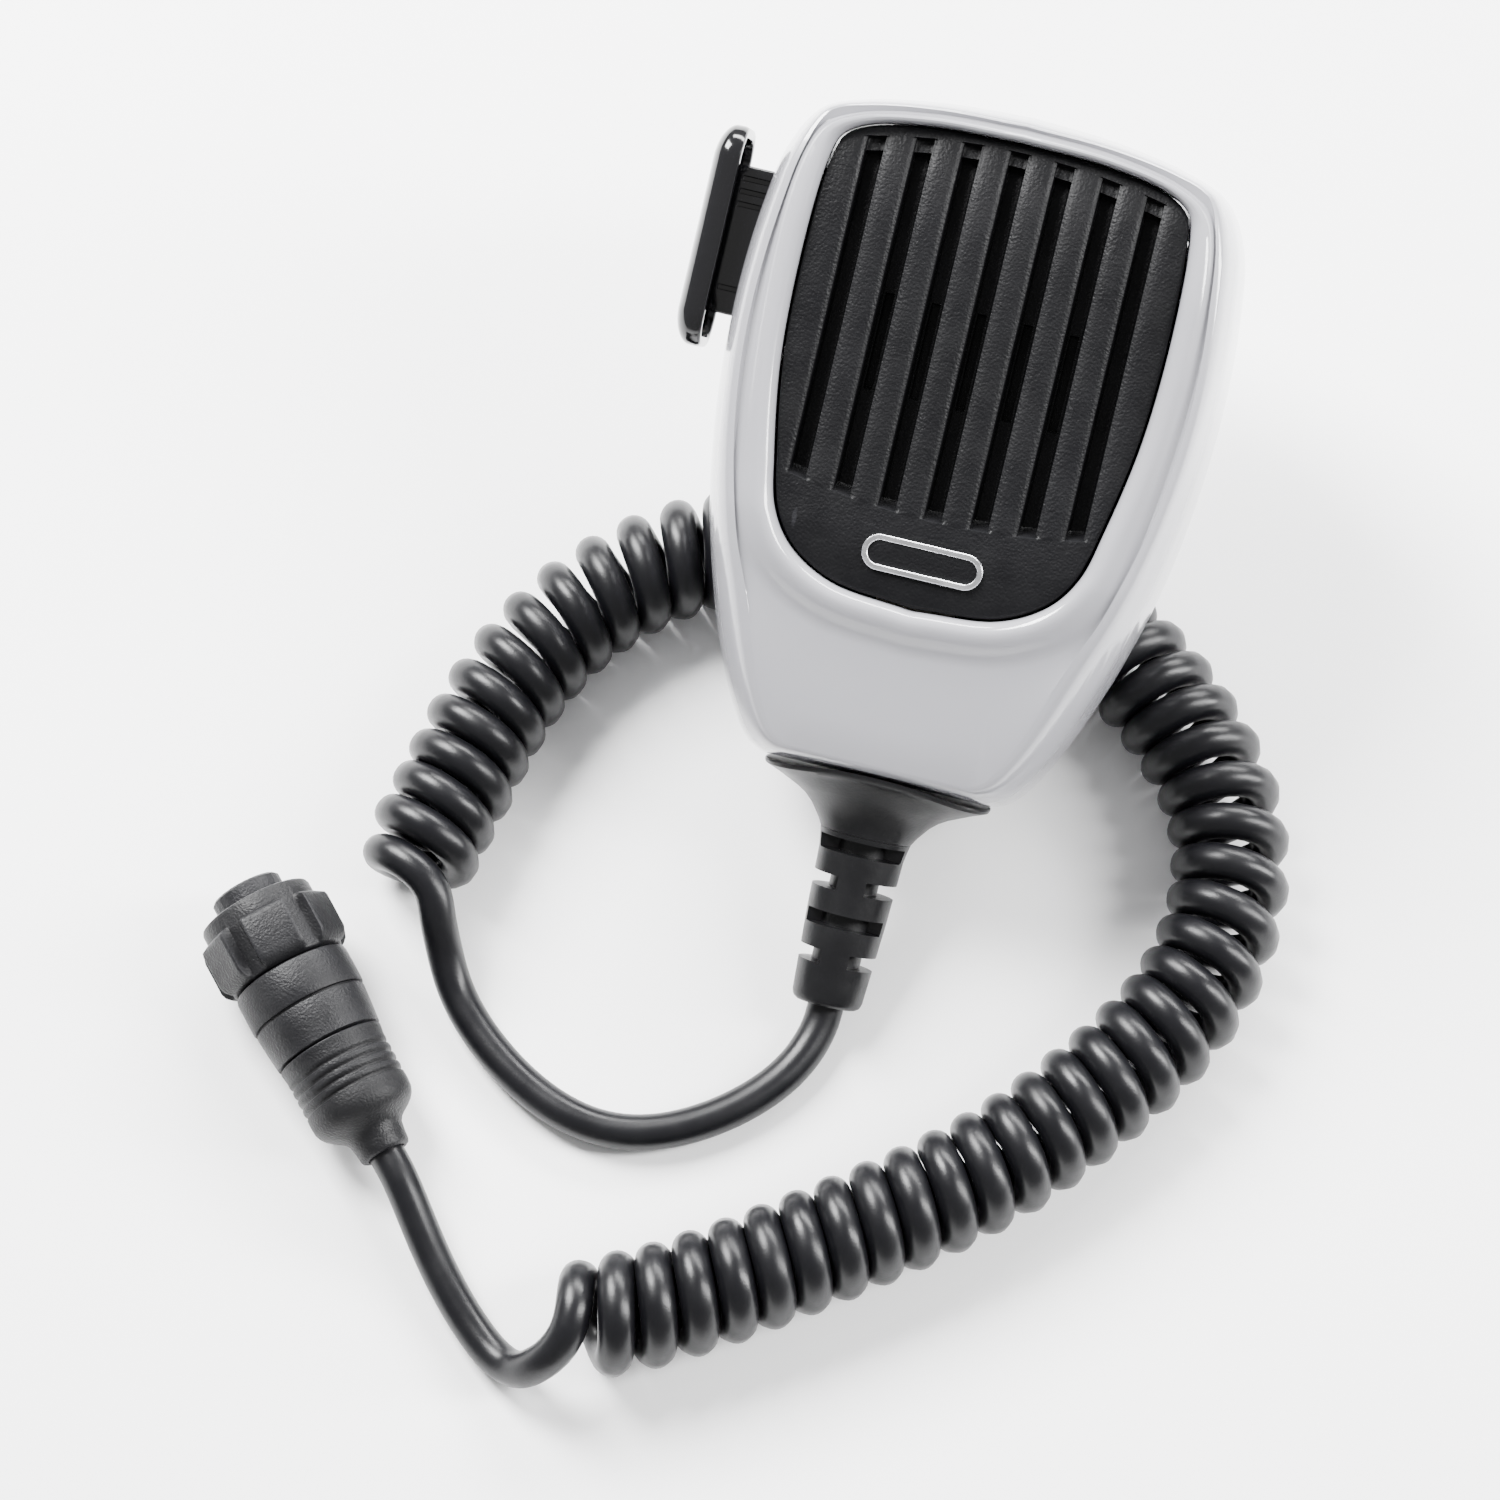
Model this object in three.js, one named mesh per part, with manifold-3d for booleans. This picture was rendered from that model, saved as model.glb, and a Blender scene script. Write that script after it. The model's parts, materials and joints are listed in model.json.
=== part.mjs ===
// Hand microphone with a push-to-talk paddle, a curly cord and a locking plug.
// Millimetres, +Z up. The cord and plug lie on the plane z = 0; the microphone leans its
// cable end on that plane and its back on the coil of the cord, face up.
// The origin is under the middle of the microphone, on that plane.
// The microphone is modelled straight, in a case frame: x across, y towards its top end,
// z out of the grille, with y = 0 at the cable end and z = 0 at the joint of the two shells.
import * as THREE from "three";
import { mergeVertices } from "three/addons/utils/BufferGeometryUtils.js";
import Module from "manifold-3d";

const wasm = await Module();
wasm.setup();

// ---------------------------------------------------------------- driving dimensions
const GAP = 0.3; // between pieces that touch
const TILT = THREE.MathUtils.degToRad(24); // the microphone's slope on the coil

// The case, in two shells.
const CASE_LENGTH = 84.1;
const CASE_WIDTH = 61.9;
const CHIN_WIDTH = 29.6; // width of the case where the cable boot leaves it
const FRONT_HEIGHT = 17.8; // joint of the shells to the front face
const CHIN_DROP = 5.6; // how much lower the front face is at the cable end
const CHIN_SPAN = 30;
const TOP_DROP = 2.6; // how far the front rolls down at the top
const TOP_SPAN = 20;
const REAR_DEPTH = 9.5; // joint of the shells to the back, at the cable end
const REAR_SLOPE = 0.085; // how the back deepens towards the top
const WALL = 2.1;
const JOINT_GAP = 0.3; // between the two shells

// The grille, in an opening of the front shell.
const GRILLE_TOP_MARGIN = 4.1; // from the case's top end
const GRILLE_LOW_MARGIN = 22.4; // from the case's cable end
const GRILLE_SIDE_MARGIN = 8.25; // from the case's widest sides
const GRILLE_RECESS = 1.0; // front of the grille below the front face
const GRILLE_THICKNESS = 4.4;
const FLANGE = 1.2; // lip of the grille behind the shell
const LIP_THICKNESS = 1.5;
const RIM = { width: 2.4, height: 0.7, foot: 3.2, root: 5 }; // raised around the grille
const RIM_TOP_SHARE = 0.4; // the rim and the lip are narrower along the top by this share
const GROOVES = 7;
const GROOVE = { pitch: 5.76, width: 2.25, depth: 2.9, lowMargin: 10.8, topMargin: 1.0 };
const TOOTH = { length: 1.9, depth: 1.2 }; // raised block at the top end of each groove
const PORT = { width: 1.1, length: 12, reach: 2 }; // slots through the grille over the capsule
const BADGE = { length: 15, height: 4.4, line: 0.7, proud: 0.3, sunk: 0.2, fromLow: 5.8 };
const CLOTH = { side: 32, thickness: 0.6 };

// What is inside. Places are from the top end, the cable end or the widest side of the case.
const MIC = { fromTop: 31.1, radius: 4.9, height: 6.7, hole: 0.9, cupWall: 2.4 };
const BOARD = { z: 1.2, thickness: 1.5, side: 12.75, low: 17.5, fromTop: 15.6, corner: 2.5 };
const BOARD_SCREW = { x: 13.6, inset: 4.5, length: 7, head: 2, radius: 0.8, hole: 1.5 };
const SWITCH = { side: 14.05, width: 6.2, length: 12.8, height: 6.2 };
const PLUNGER = { radius: 1.0, length: 5.2, bore: 1.3, boreDepth: 4.2, rise: 0.5 };
const SPRING = { radius: 1.3, wire: 0.2, turns: 4, offset: 4.6, sides: 5, steps: 40 };
const CONNECTOR = { y: 18.7, length: 5, half: 5, height: 5.6, wall: 0.8, socket: 2.6 };
const CLAMP = { y: 7.2, length: 3.2, fromChin: 3.2, rise: 1.6, thickness: 1.2 };
const CLAMP_SCREW = { inset: 2.4, length: 6, head: 2, radius: 0.8, hole: 1.2 };
const PILOT = 1.1; // hole in a post for a small screw
const POST = 2.3;

// The paddle on the left side, and the stem that carries it.
const PADDLE = { length: 27.7, depth: 14, thickness: 3.9, fromTop: 23, z: 5.3, reach: 6.3 };
const STEM = { length: 18.4, depth: 6.6, inside: 9.45, root: 1.4 };
const STEM_CLEARANCE = 0.35;
const SEAL = { grow: 1.8, thickness: 1.2, lift: 0.6 };

// The boot at the cable end and the slotted strain relief.
const BOOT_LENGTH = 7.2;
const CHIN_PLUG = { inset: 2, lower: 1, upper: 1.4, corner: 4, low: -4, high: 8, lug: 6 };
const RELIEF_TOP_RADIUS = 5.4;
const RELIEF_TIP_RADIUS = 4.4;
const RELIEF_TIP = -29; // along the case's y
const RELIEF_CORE_WALL = 0.8; // between the cord and the slots
const RELIEF_SLOTS = 4;
const SLOT = { width: 1.6, bridge: 3.3, fromBoot: 1.6, step: 4.7 };

const CORD_RADIUS = 2.3;
const COIL_RADIUS = 7.6; // outside of the curly part

// Case screws, and the button that hangs in a bracket.
const SCREW = { radius: 1.15, head: 2.3, headHeight: 1.7, seat: -5.2, tip: 7.6 };
const BOSS_RADIUS = 3.1;
const RIB = 1.6; // joins each boss to the case's side
const TOP_SCREW = { fromSide: 12.0, fromTop: 10.6 };
const CHIN_SCREW = { fromChin: 0.6, y: 13.5 };
const BUTTON = { neck: 3.6, head: 6.6, rise: 3.0, thickness: 2.4, fromTop: 31.1, bore: 1.9 };
const HANGER_SCREW = { radius: 1.2, head: 2.55, sunk: 0.55, headDepth: 1.55, past: 2.6 };
const HOLE_CLEARANCE = 0.3; // around a screw
const CROSS = { width: 0.6, depth: 0.8 }; // what a screwdriver fits

// The plug's radii, and its places from the cord's entry along its axis.
const PLUG_TILT = THREE.MathUtils.degToRad(4.7);
const PLUG_HEADING = THREE.MathUtils.degToRad(133.3); // from +X, seen from above
const PLUG_AT = [-44.5, -86.1];
const PLUG = {
  boot: 15.0,
  shellEnd: 26.0,
  shoulder: 7.6,
  spigot: 5.9,
  ringEnd: 35.6,
  ringBase: 7.5,
  ringWeb: 4.1, // thickness of the ring's end
  lobe: 8.4,
  lobeHalf: 3.1,
  lobes: 6,
  nose: 4.6,
  noseEnd: 38.2,
};
const PIN = { count: 8, circle: 2.75, radius: 0.5, socket: 0.85, depth: 5.2, sunk: 0.8 };

// ---------------------------------------------------------------- looks
const LOOKS = {
  case: { color: 0xcdccd1, roughness: 0.22, metalness: 0 },
  grille: { color: 0x1d1d20, roughness: 0.55, metalness: 0 },
  paddle: { color: 0x101013, roughness: 0.2, metalness: 0 },
  silver: { color: 0xc9c9cc, roughness: 0.3, metalness: 0.9 },
  steel: { color: 0xb4b6ba, roughness: 0.35, metalness: 1 },
  brass: { color: 0xc9a55a, roughness: 0.3, metalness: 1 },
  rubber: { color: 0x18181a, roughness: 0.6, metalness: 0 },
  cord: { color: 0x161618, roughness: 0.5, metalness: 0 },
  plug: { color: 0x232326, roughness: 0.65, metalness: 0 },
  board: { color: 0x1f5a36, roughness: 0.5, metalness: 0 },
  cloth: { color: 0x0c0c0d, roughness: 0.95, metalness: 0 },
  nylon: { color: 0xe8e4d8, roughness: 0.5, metalness: 0 },
};

// ---------------------------------------------------------------- solids
// A closed geometry as a solid that can be joined and cut.
function solid(geometry) {
  const plain = geometry.clone();
  plain.deleteAttribute("normal");
  plain.deleteAttribute("uv");
  const merged = mergeVertices(plain, 1e-4);
  return new wasm.Manifold(
    new wasm.Mesh({
      numProp: 3,
      vertProperties: merged.attributes.position.array,
      triVerts: new Uint32Array(merged.index.array),
    }),
  );
}

// A solid back as a geometry.
function geometryOf(body) {
  const mesh = body.getMesh();
  const geometry = new THREE.BufferGeometry();
  geometry.setAttribute("position", new THREE.BufferAttribute(mesh.vertProperties, 3));
  geometry.setIndex(new THREE.BufferAttribute(mesh.triVerts, 1));
  geometry.computeVertexNormals();
  return geometry;
}

const fuse = (first, ...others) => others.reduce((a, b) => a.add(b), first);
const cut = (first, ...others) => others.reduce((a, b) => a.subtract(b), first);

// A skin over loops of equally many points. Each loop's two ends are closed by strips
// across it when it is a mirrored outline, or by a fan from its middle.
function loft(loops, { mirrored = false } = {}) {
  const count = loops[0].length;
  const points = loops.flat();
  const faces = [];
  for (let k = 0; k + 1 < loops.length; k++)
    for (let i = 0; i < count; i++) {
      const a = k * count + i;
      const b = k * count + ((i + 1) % count);
      faces.push([a, b, b + count], [a, b + count, a + count]);
    }
  const cap = (start, turned) => {
    const add = (a, b, c) => faces.push(turned ? [a, c, b] : [a, b, c]);
    if (mirrored) {
      const half = (count - 1) / 2; // the point on the mirror line at the top
      for (let i = 0; i + 1 < half; i++) {
        const [r, s] = [start + i, start + i + 1];
        const [l, m] = [start + count - 1 - i, start + count - 2 - i];
        add(r, s, m);
        add(r, m, l);
      }
      add(start + half - 1, start + half, start + half + 1);
      return;
    }
    const middle = new THREE.Vector3();
    for (let i = 0; i < count; i++) middle.addScaledVector(points[start + i], 1 / count);
    points.push(middle);
    for (let i = 0; i < count; i++)
      add(points.length - 1, start + i, start + ((i + 1) % count));
  };
  cap(0, true);
  cap((loops.length - 1) * count, false);
  let volume = 0;
  for (const [a, b, c] of faces)
    volume += points[a].dot(points[b].clone().cross(points[c]));
  const index = volume > 0 ? faces.flat() : faces.map(([a, b, c]) => [a, c, b]).flat();
  const geometry = new THREE.BufferGeometry().setFromPoints(points);
  geometry.setIndex(index);
  return solid(geometry);
}

// A round rod or ring of the given outline [radius, height], around +Z.
function lathe(profile, segments = 24) {
  const outline = profile.map(([r, h]) => new THREE.Vector2(r, h));
  if (profile[0][0] > 0) outline.push(outline[0].clone());
  const geometry = new THREE.LatheGeometry(outline, segments);
  geometry.rotateX(Math.PI / 2);
  let body = solid(geometry);
  if (body.volume() < 0) {
    geometry.setIndex([...geometry.index.array].reverse());
    body = solid(geometry);
  }
  return body;
}

const rod = (radius, z0, z1, segments) =>
  lathe([[0, z0], [radius, z0], [radius, z1], [0, z1]], segments);

// A solid turned and moved. The turns are in radians, about X, then Y, then Z.
function placed(body, [x, y, z], turn = [0, 0, 0]) {
  const geometry = geometryOf(body);
  geometry.applyMatrix4(new THREE.Matrix4().makeRotationFromEuler(new THREE.Euler(...turn, "ZYX")));
  geometry.translate(x, y, z);
  return solid(geometry);
}

function box([x0, y0, z0], [x1, y1, z1]) {
  const geometry = new THREE.BoxGeometry(x1 - x0, y1 - y0, z1 - z0);
  geometry.translate((x0 + x1) / 2, (y0 + y1) / 2, (z0 + z1) / 2);
  return solid(geometry);
}

// A flat outline in x and y, from z0 to z1.
function prism(outline, z0, z1) {
  const shape = new THREE.Shape(outline.map(([x, y]) => new THREE.Vector2(x, y)));
  const geometry = new THREE.ExtrudeGeometry(shape, { depth: z1 - z0, bevelEnabled: false });
  geometry.translate(0, 0, z0);
  return solid(geometry);
}

// A slab of the given width about x, between two profiles z(y), from y0 to y1.
function slab(lower, upper, y0, y1, x, width, steps = 8) {
  const at = Array.from({ length: steps + 1 }, (_, i) => y0 + ((y1 - y0) * i) / steps);
  const shape = new THREE.Shape([
    ...at.map((y) => new THREE.Vector2(y, lower(y))),
    ...at.reverse().map((y) => new THREE.Vector2(y, upper(y))),
  ]);
  const geometry = new THREE.ExtrudeGeometry(shape, { depth: width, bevelEnabled: false });
  const axes = new THREE.Matrix4().makeBasis(
    new THREE.Vector3(0, 1, 0),
    new THREE.Vector3(0, 0, 1),
    new THREE.Vector3(1, 0, 0),
  );
  geometry.applyMatrix4(axes);
  geometry.translate(x - width / 2, 0, 0);
  return solid(geometry);
}

// A rectangle with round corners, as points.
function roundedRectangle(x0, y0, x1, y1, radius, steps = 5) {
  const corners = [
    [x1 - radius, y0 + radius, -90],
    [x1 - radius, y1 - radius, 0],
    [x0 + radius, y1 - radius, 90],
    [x0 + radius, y0 + radius, 180],
  ];
  return corners.flatMap(([x, y, from]) =>
    Array.from({ length: steps + 1 }, (_, i) => {
      const angle = THREE.MathUtils.degToRad(from + (90 * i) / steps);
      return [x + radius * Math.cos(angle), y + radius * Math.sin(angle)];
    }),
  );
}

// ---------------------------------------------------------------- the case's form
// Half an outline, from the cable end up to the middle of the top, as evenly spaced points,
// and its mirror image. The last given point lies on the middle line.
function mirroredOutline(halfPoints, count) {
  const curve = new THREE.SplineCurve(halfPoints.map(([x, y]) => new THREE.Vector2(x, y)));
  const right = curve.getSpacedPoints(count);
  const left = right.slice(0, -1).reverse();
  return [...right.map((p) => [p.x, p.y]), ...left.map((p) => [-p.x, p.y])];
}

const OUTLINE_STEPS = 23;
const caseHalf = CASE_WIDTH / 2;
const caseOutline = mirroredOutline(
  [
    [CHIN_WIDTH / 2, 0],
    ...[
      [0.555, 0.0155],
      [0.664, 0.074],
      [0.828, 0.223],
      [0.947, 0.402],
      [1, 0.62],
      [0.978, 0.79],
      [0.928, 0.884],
      [0.826, 0.944],
      [0.66, 0.97],
      [0.34, 0.992],
      [0, 1],
    ].map(([x, y]) => [x * caseHalf, y * CASE_LENGTH]),
  ],
  OUTLINE_STEPS,
);

const grilleHalf = caseHalf - GRILLE_SIDE_MARGIN;
const grilleLow = GRILLE_LOW_MARGIN;
const grilleTop = CASE_LENGTH - GRILLE_TOP_MARGIN;
const grilleHeight = grilleTop - grilleLow;
const grilleOutline = mirroredOutline(
  [
    [0.02, 0],
    [0.46, 0.02],
    [0.7, 0.073],
    [0.825, 0.143],
    [0.893, 0.25],
    [0.976, 0.45],
    [1, 0.69],
    [0.972, 0.885],
    [0.936, 0.935],
    [0.815, 0.966],
    [0.485, 0.992],
    [0, 1],
  ].map(([x, y]) => [x * grilleHalf, grilleLow + y * grilleHeight]),
  OUTLINE_STEPS,
);

// The case's outline drawn in by a distance at its sides, its low end and its top.
const drawnIn = (side, low, high) =>
  caseOutline.map(([x, y]) => [
    x * (1 - side / caseHalf),
    low + y * (1 - (low + high) / CASE_LENGTH),
  ]);

// An outline moved inwards, less so towards its low and high ends.
function inward(outline, distance, low = 1, high = 1) {
  const count = outline.length;
  return outline.map(([x, y], i) => {
    const [px, py] = outline[(i + count - 1) % count];
    const [nx, ny] = outline[(i + 1) % count];
    const along = new THREE.Vector2(nx - px, ny - py).normalize();
    const [dx, dy] = [-along.y * distance, along.x * distance];
    return [x + dx, y + dy * (dy * distance > 0 ? low : high)];
  });
}

const clamp01 = (v) => Math.min(1, Math.max(0, v));
const frontHeight = (y) =>
  FRONT_HEIGHT -
  CHIN_DROP * Math.pow(clamp01((CHIN_SPAN - y) / CHIN_SPAN), 1.3) -
  TOP_DROP * Math.pow(clamp01((y - CASE_LENGTH + TOP_SPAN) / TOP_SPAN), 2);
const rearDepth = (y) => REAR_DEPTH + REAR_SLOPE * y;
const LOW_END = 0.35; // the case's ends are steeper than its sides by these shares
const HIGH_END = 0.5;

// Loops of the case at levels [share of the depth, inset, drop towards the joint].
const caseLoops = (levels, depth, wall, side) =>
  levels.map(([share, inset, drop = 0]) =>
    drawnIn(inset + wall, LOW_END * inset + wall, HIGH_END * inset + wall).map(
      ([x, y]) => new THREE.Vector3(x, y, side * (share * depth(y) - drop)),
    ),
  );

const FRONT_LEVELS = [
  [0, 0, -JOINT_GAP / 2],
  [0.16, 0.1],
  [0.42, 0.8],
  [0.64, 1.7],
  [0.81, 3.0],
  [0.93, 4.3],
  [0.985, 5.6],
  [1, 7.0],
];
const REAR_LEVELS = [
  [0, 0, -JOINT_GAP / 2],
  [0.2, 0.15],
  [0.5, 0.9],
  [0.75, 2.4],
  [0.9, 4.2],
  [1, 6.6],
];
// The hollow keeps a wall inside the same form and is open at the joint.
const hollowLevels = (levels) => [
  [0, 0, 1],
  ...levels.slice(2).filter((_, i) => i % 2).map(([share, inset]) => [share, inset, WALL]),
];

const caseHollow = (levels, depth, side) =>
  loft(caseLoops(hollowLevels(levels), depth, WALL, side), { mirrored: true });

// The value at x on a line through points [x, value] in rising x.
function between(points, x) {
  const i = Math.max(1, points.findIndex(([px]) => px >= x));
  const [[x0, v0], [x1, v1]] = [points[i - 1], points[i]];
  return v0 + ((v1 - v0) * (x - x0)) / (x1 - x0);
}

// Half the width of the front shell's hollow at a y and a height z over the joint.
function hollowHalf(y, z) {
  const depths = hollowLevels(FRONT_LEVELS).map(([share, inset, drop]) => [
    share * frontHeight(y) - drop,
    inset,
  ]);
  const inset = between(depths, z);
  const low = LOW_END * inset + WALL;
  const high = HIGH_END * inset + WALL;
  const rightSide = caseOutline.slice(0, OUTLINE_STEPS + 1).map(([px, py]) => [py, px]);
  const half = between(rightSide, (y - low) / (1 - (low + high) / CASE_LENGTH));
  return half * (1 - (inset + WALL) / caseHalf);
}

// The cross-section that the cable boot fills at the chin, along y from y0 to y1.
function chinPlug(clearance, y0, y1) {
  const { inset, lower, upper, corner } = CHIN_PLUG;
  const halfWidth = CHIN_WIDTH / 2 - WALL - inset - clearance;
  const outline = roundedRectangle(
    -halfWidth,
    -(REAR_DEPTH - WALL - lower - clearance),
    halfWidth,
    frontHeight(0) - WALL - upper - clearance,
    corner,
  );
  return placed(prism(outline, 0, y1 - y0), [0, y1, 0], [Math.PI / 2, 0, 0]);
}

const chinHole = () => chinPlug(0, CHIN_PLUG.low, CHIN_PLUG.high);

const chinScrewAt = [CHIN_WIDTH / 2 + CHIN_SCREW.fromChin, CHIN_SCREW.y];
const topScrewAt = [caseHalf - TOP_SCREW.fromSide, CASE_LENGTH - TOP_SCREW.fromTop];
const caseScrewPlaces = [
  [-topScrewAt[0], topScrewAt[1]],
  topScrewAt,
  [-chinScrewAt[0], chinScrewAt[1]],
  chinScrewAt,
];
const grilleFront = (y) => frontHeight(y) - GRILLE_RECESS;
const grilleBack = (y) => grilleFront(y) - GRILLE_THICKNESS;

const paddleY = CASE_LENGTH - PADDLE.fromTop;
const paddleFace = -(caseHalf + PADDLE.reach);
const stemEnd = -(caseHalf - STEM.inside);
const stemLow = paddleY - STEM.length / 2;
const stemHigh = paddleY + STEM.length / 2;
const stemBack = PADDLE.z - STEM.depth / 2;
const stemFront = PADDLE.z + STEM.depth / 2;
const micY = CASE_LENGTH - MIC.fromTop;
const buttonY = CASE_LENGTH - BUTTON.fromTop;
const boardTop = BOARD.z + BOARD.thickness;
const boardHalf = caseHalf - BOARD.side;
const boardHigh = CASE_LENGTH - BOARD.fromTop;
const boardScrewPlaces = [
  [BOARD_SCREW.x, BOARD.low + BOARD_SCREW.inset],
  [BOARD_SCREW.x, boardHigh - BOARD_SCREW.inset],
];
const clampHalf = CHIN_WIDTH / 2 - CLAMP.fromChin;
const clampScrewPlaces = [-1, 1].map((side) => [
  side * (clampHalf - CLAMP_SCREW.inset),
  CLAMP.y + CLAMP.length / 2,
]);


function frontShell() {
  const outer = loft(caseLoops(FRONT_LEVELS, frontHeight, 0, 1), { mirrored: true });
  const rim = [
    [RIM.width + RIM.foot, -RIM.root],
    [RIM.width + 0.7 * RIM.foot, -1.3 * RIM.height],
    [RIM.width + 0.35 * RIM.foot, 0.45 * RIM.height],
    [RIM.width, RIM.height],
    [RIM.width / 2, 0.85 * RIM.height],
  ].map(([spread, rise]) =>
    inward(grilleOutline, -spread, 1, RIM_TOP_SHARE).map(
      ([x, y]) => new THREE.Vector3(x, y, frontHeight(y) + rise),
    ),
  );
  let shell = cut(
    outer.add(loft(rim, { mirrored: true })),
    caseHollow(FRONT_LEVELS, frontHeight, 1),
    prism(grilleOutline, FRONT_HEIGHT / 3, FRONT_HEIGHT * 2),
    grilleLip(GAP),
    chinHole(),
    box(
      [paddleFace, stemLow - STEM_CLEARANCE, stemBack - STEM_CLEARANCE],
      [stemEnd, stemHigh + STEM_CLEARANCE, stemFront + STEM_CLEARANCE],
    ),
  );
  for (const [x, y] of caseScrewPlaces) {
    const underGrille = y + BOSS_RADIUS > grilleLow;
    const top = underGrille ? grilleBack(y + BOSS_RADIUS + 1) - GAP : frontHeight(y) - 1;
    const [wallSide, half] = [Math.sign(x) * caseHalf, RIB / 2];
    const boss = fuse(
      placed(rod(BOSS_RADIUS, JOINT_GAP / 2, top, 14), [x, y, 0]),
      box([Math.min(x, wallSide), y - half, JOINT_GAP / 2], [Math.max(x, wallSide), y + half, top]),
    );
    const hole = placed(rod(SCREW.radius + HOLE_CLEARANCE, -1, SCREW.tip + 0.5, 12), [x, y, 0]);
    shell = cut(shell.add(boss.intersect(outer)), hole);
  }
  return shell;
}

// A post on the inside of the back, up to z = top, with a pilot hole.
function post([x, y], top) {
  const body = rod(POST, -rearDepth(y) + WALL / 2, top, 16);
  return placed(cut(body, rod(PILOT, -6, top + 1, 12)), [x, y, 0]);
}

function rearCover() {
  const outer = loft(caseLoops(REAR_LEVELS, rearDepth, 0, -1), { mirrored: true });
  let cover = cut(outer, caseHollow(REAR_LEVELS, rearDepth, -1), chinHole());
  for (const [x, y] of caseScrewPlaces) {
    const deep = -2 * rearDepth(y);
    const boss = placed(rod(BOSS_RADIUS + 0.6, deep, -JOINT_GAP / 2, 14), [x, y, 0]);
    cover = cut(
      cover.add(boss.intersect(outer)),
      placed(rod(SCREW.head + HOLE_CLEARANCE, deep, SCREW.seat, 14), [x, y, 0]),
      placed(rod(SCREW.radius + HOLE_CLEARANCE, deep, 1, 12), [x, y, 0]),
    );
  }
  const posts = [
    ...boardScrewPlaces.map((place) => post(place, BOARD.z - GAP)),
    ...clampScrewPlaces.map((place) => post(place, -CLAMP.thickness / 2 - GAP)),
  ];
  return cut(fuse(cover, ...posts), onBack(rod(BUTTON.bore, -2 * WALL, WALL, 20), buttonY));
}

// ---------------------------------------------------------------- on the back
const backAngle = Math.atan(REAR_SLOPE);

// A solid modelled with +z out of the case's back, put on the back at the given y.
function onBack(body, y) {
  return placed(body, [0, y, -rearDepth(y)], [Math.PI - backAngle, 0, 0]);
}

// Button that hangs in a bracket: a neck under a wide flat head.
const buttonTop = BUTTON.rise + BUTTON.thickness;

function hangerButton() {
  const { neck, head, rise } = BUTTON;
  const edge = 0.5;
  const button = lathe([
    [0, GAP],
    [neck + 1.2, GAP],
    [neck + 1.2, GAP + 0.6],
    [neck, GAP + 1],
    [neck, rise],
    [head - edge, rise],
    [head, rise + edge],
    [head, buttonTop - edge],
    [head - edge, buttonTop],
    [0, buttonTop],
  ]);
  const { radius, head: screwHead, sunk, headDepth } = HANGER_SCREW;
  const bore = radius + 0.4;
  const recess = lathe([
    [0, buttonTop - sunk - headDepth],
    [bore, buttonTop - sunk - headDepth],
    [screwHead + 0.6, buttonTop + 0.1],
    [0, buttonTop + 0.1],
  ], 20);
  return onBack(cut(button, recess, rod(bore, 0, buttonTop, 20)), buttonY);
}

function hangerScrew() {
  const { radius, head, sunk, headDepth, past } = HANGER_SCREW;
  const top = buttonTop - sunk;
  const tip = -WALL - past;
  const screwBody = lathe([
    [0, tip],
    [radius, tip],
    [radius, top - headDepth],
    [head, top],
    [0, top],
  ], 20);
  return onBack(cut(screwBody, crossRecess(top, head)), buttonY);
}

// The cross that a screwdriver fits, cut down from height z.
function crossRecess(z, width) {
  const [half, thin] = [width / 2, CROSS.width / 2];
  return fuse(
    box([-half, -thin, z - CROSS.depth], [half, thin, z + 1]),
    box([-thin, -half, z - CROSS.depth], [thin, half, z + 1]),
  );
}

// A cheese-head screw, head down, with the underside of its head at z = 0.
function screw(length, head, radius) {
  const height = SCREW.headHeight;
  const body = lathe([
    [0, -height],
    [head, -height],
    [head, 0],
    [radius, 0],
    [radius, length],
    [0, length],
  ], 14);
  return cut(body, placed(crossRecess(0, head * 1.3), [0, 0, -height], [Math.PI, 0, 0]));
}

// ---------------------------------------------------------------- the grille
// The grooves end on two shallow arcs.
const grooveEnds = (x) => [
  grilleLow + GROOVE.lowMargin + 0.0055 * x * x,
  grilleTop - GROOVE.topMargin - 0.0063 * x * x,
];

// A layer of the grille's height range between two profiles z(y).
const grilleLayer = (lower, upper) =>
  slab(lower, upper, grilleLow - 2 * FLANGE, grilleTop + 2 * FLANGE, 0, CASE_WIDTH, 20);

const lipOutline = (clearance) => inward(grilleOutline, -FLANGE - clearance, 1, RIM_TOP_SHARE);

// The grille's lip behind the shell, or with a clearance the room that it takes.
function grilleLip(clearance) {
  const layer = grilleLayer(
    (y) => grilleBack(y) - clearance,
    (y) => grilleBack(y) + LIP_THICKNESS + clearance,
  );
  return prism(lipOutline(clearance), 0, 2 * FRONT_HEIGHT).intersect(layer);
}

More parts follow.
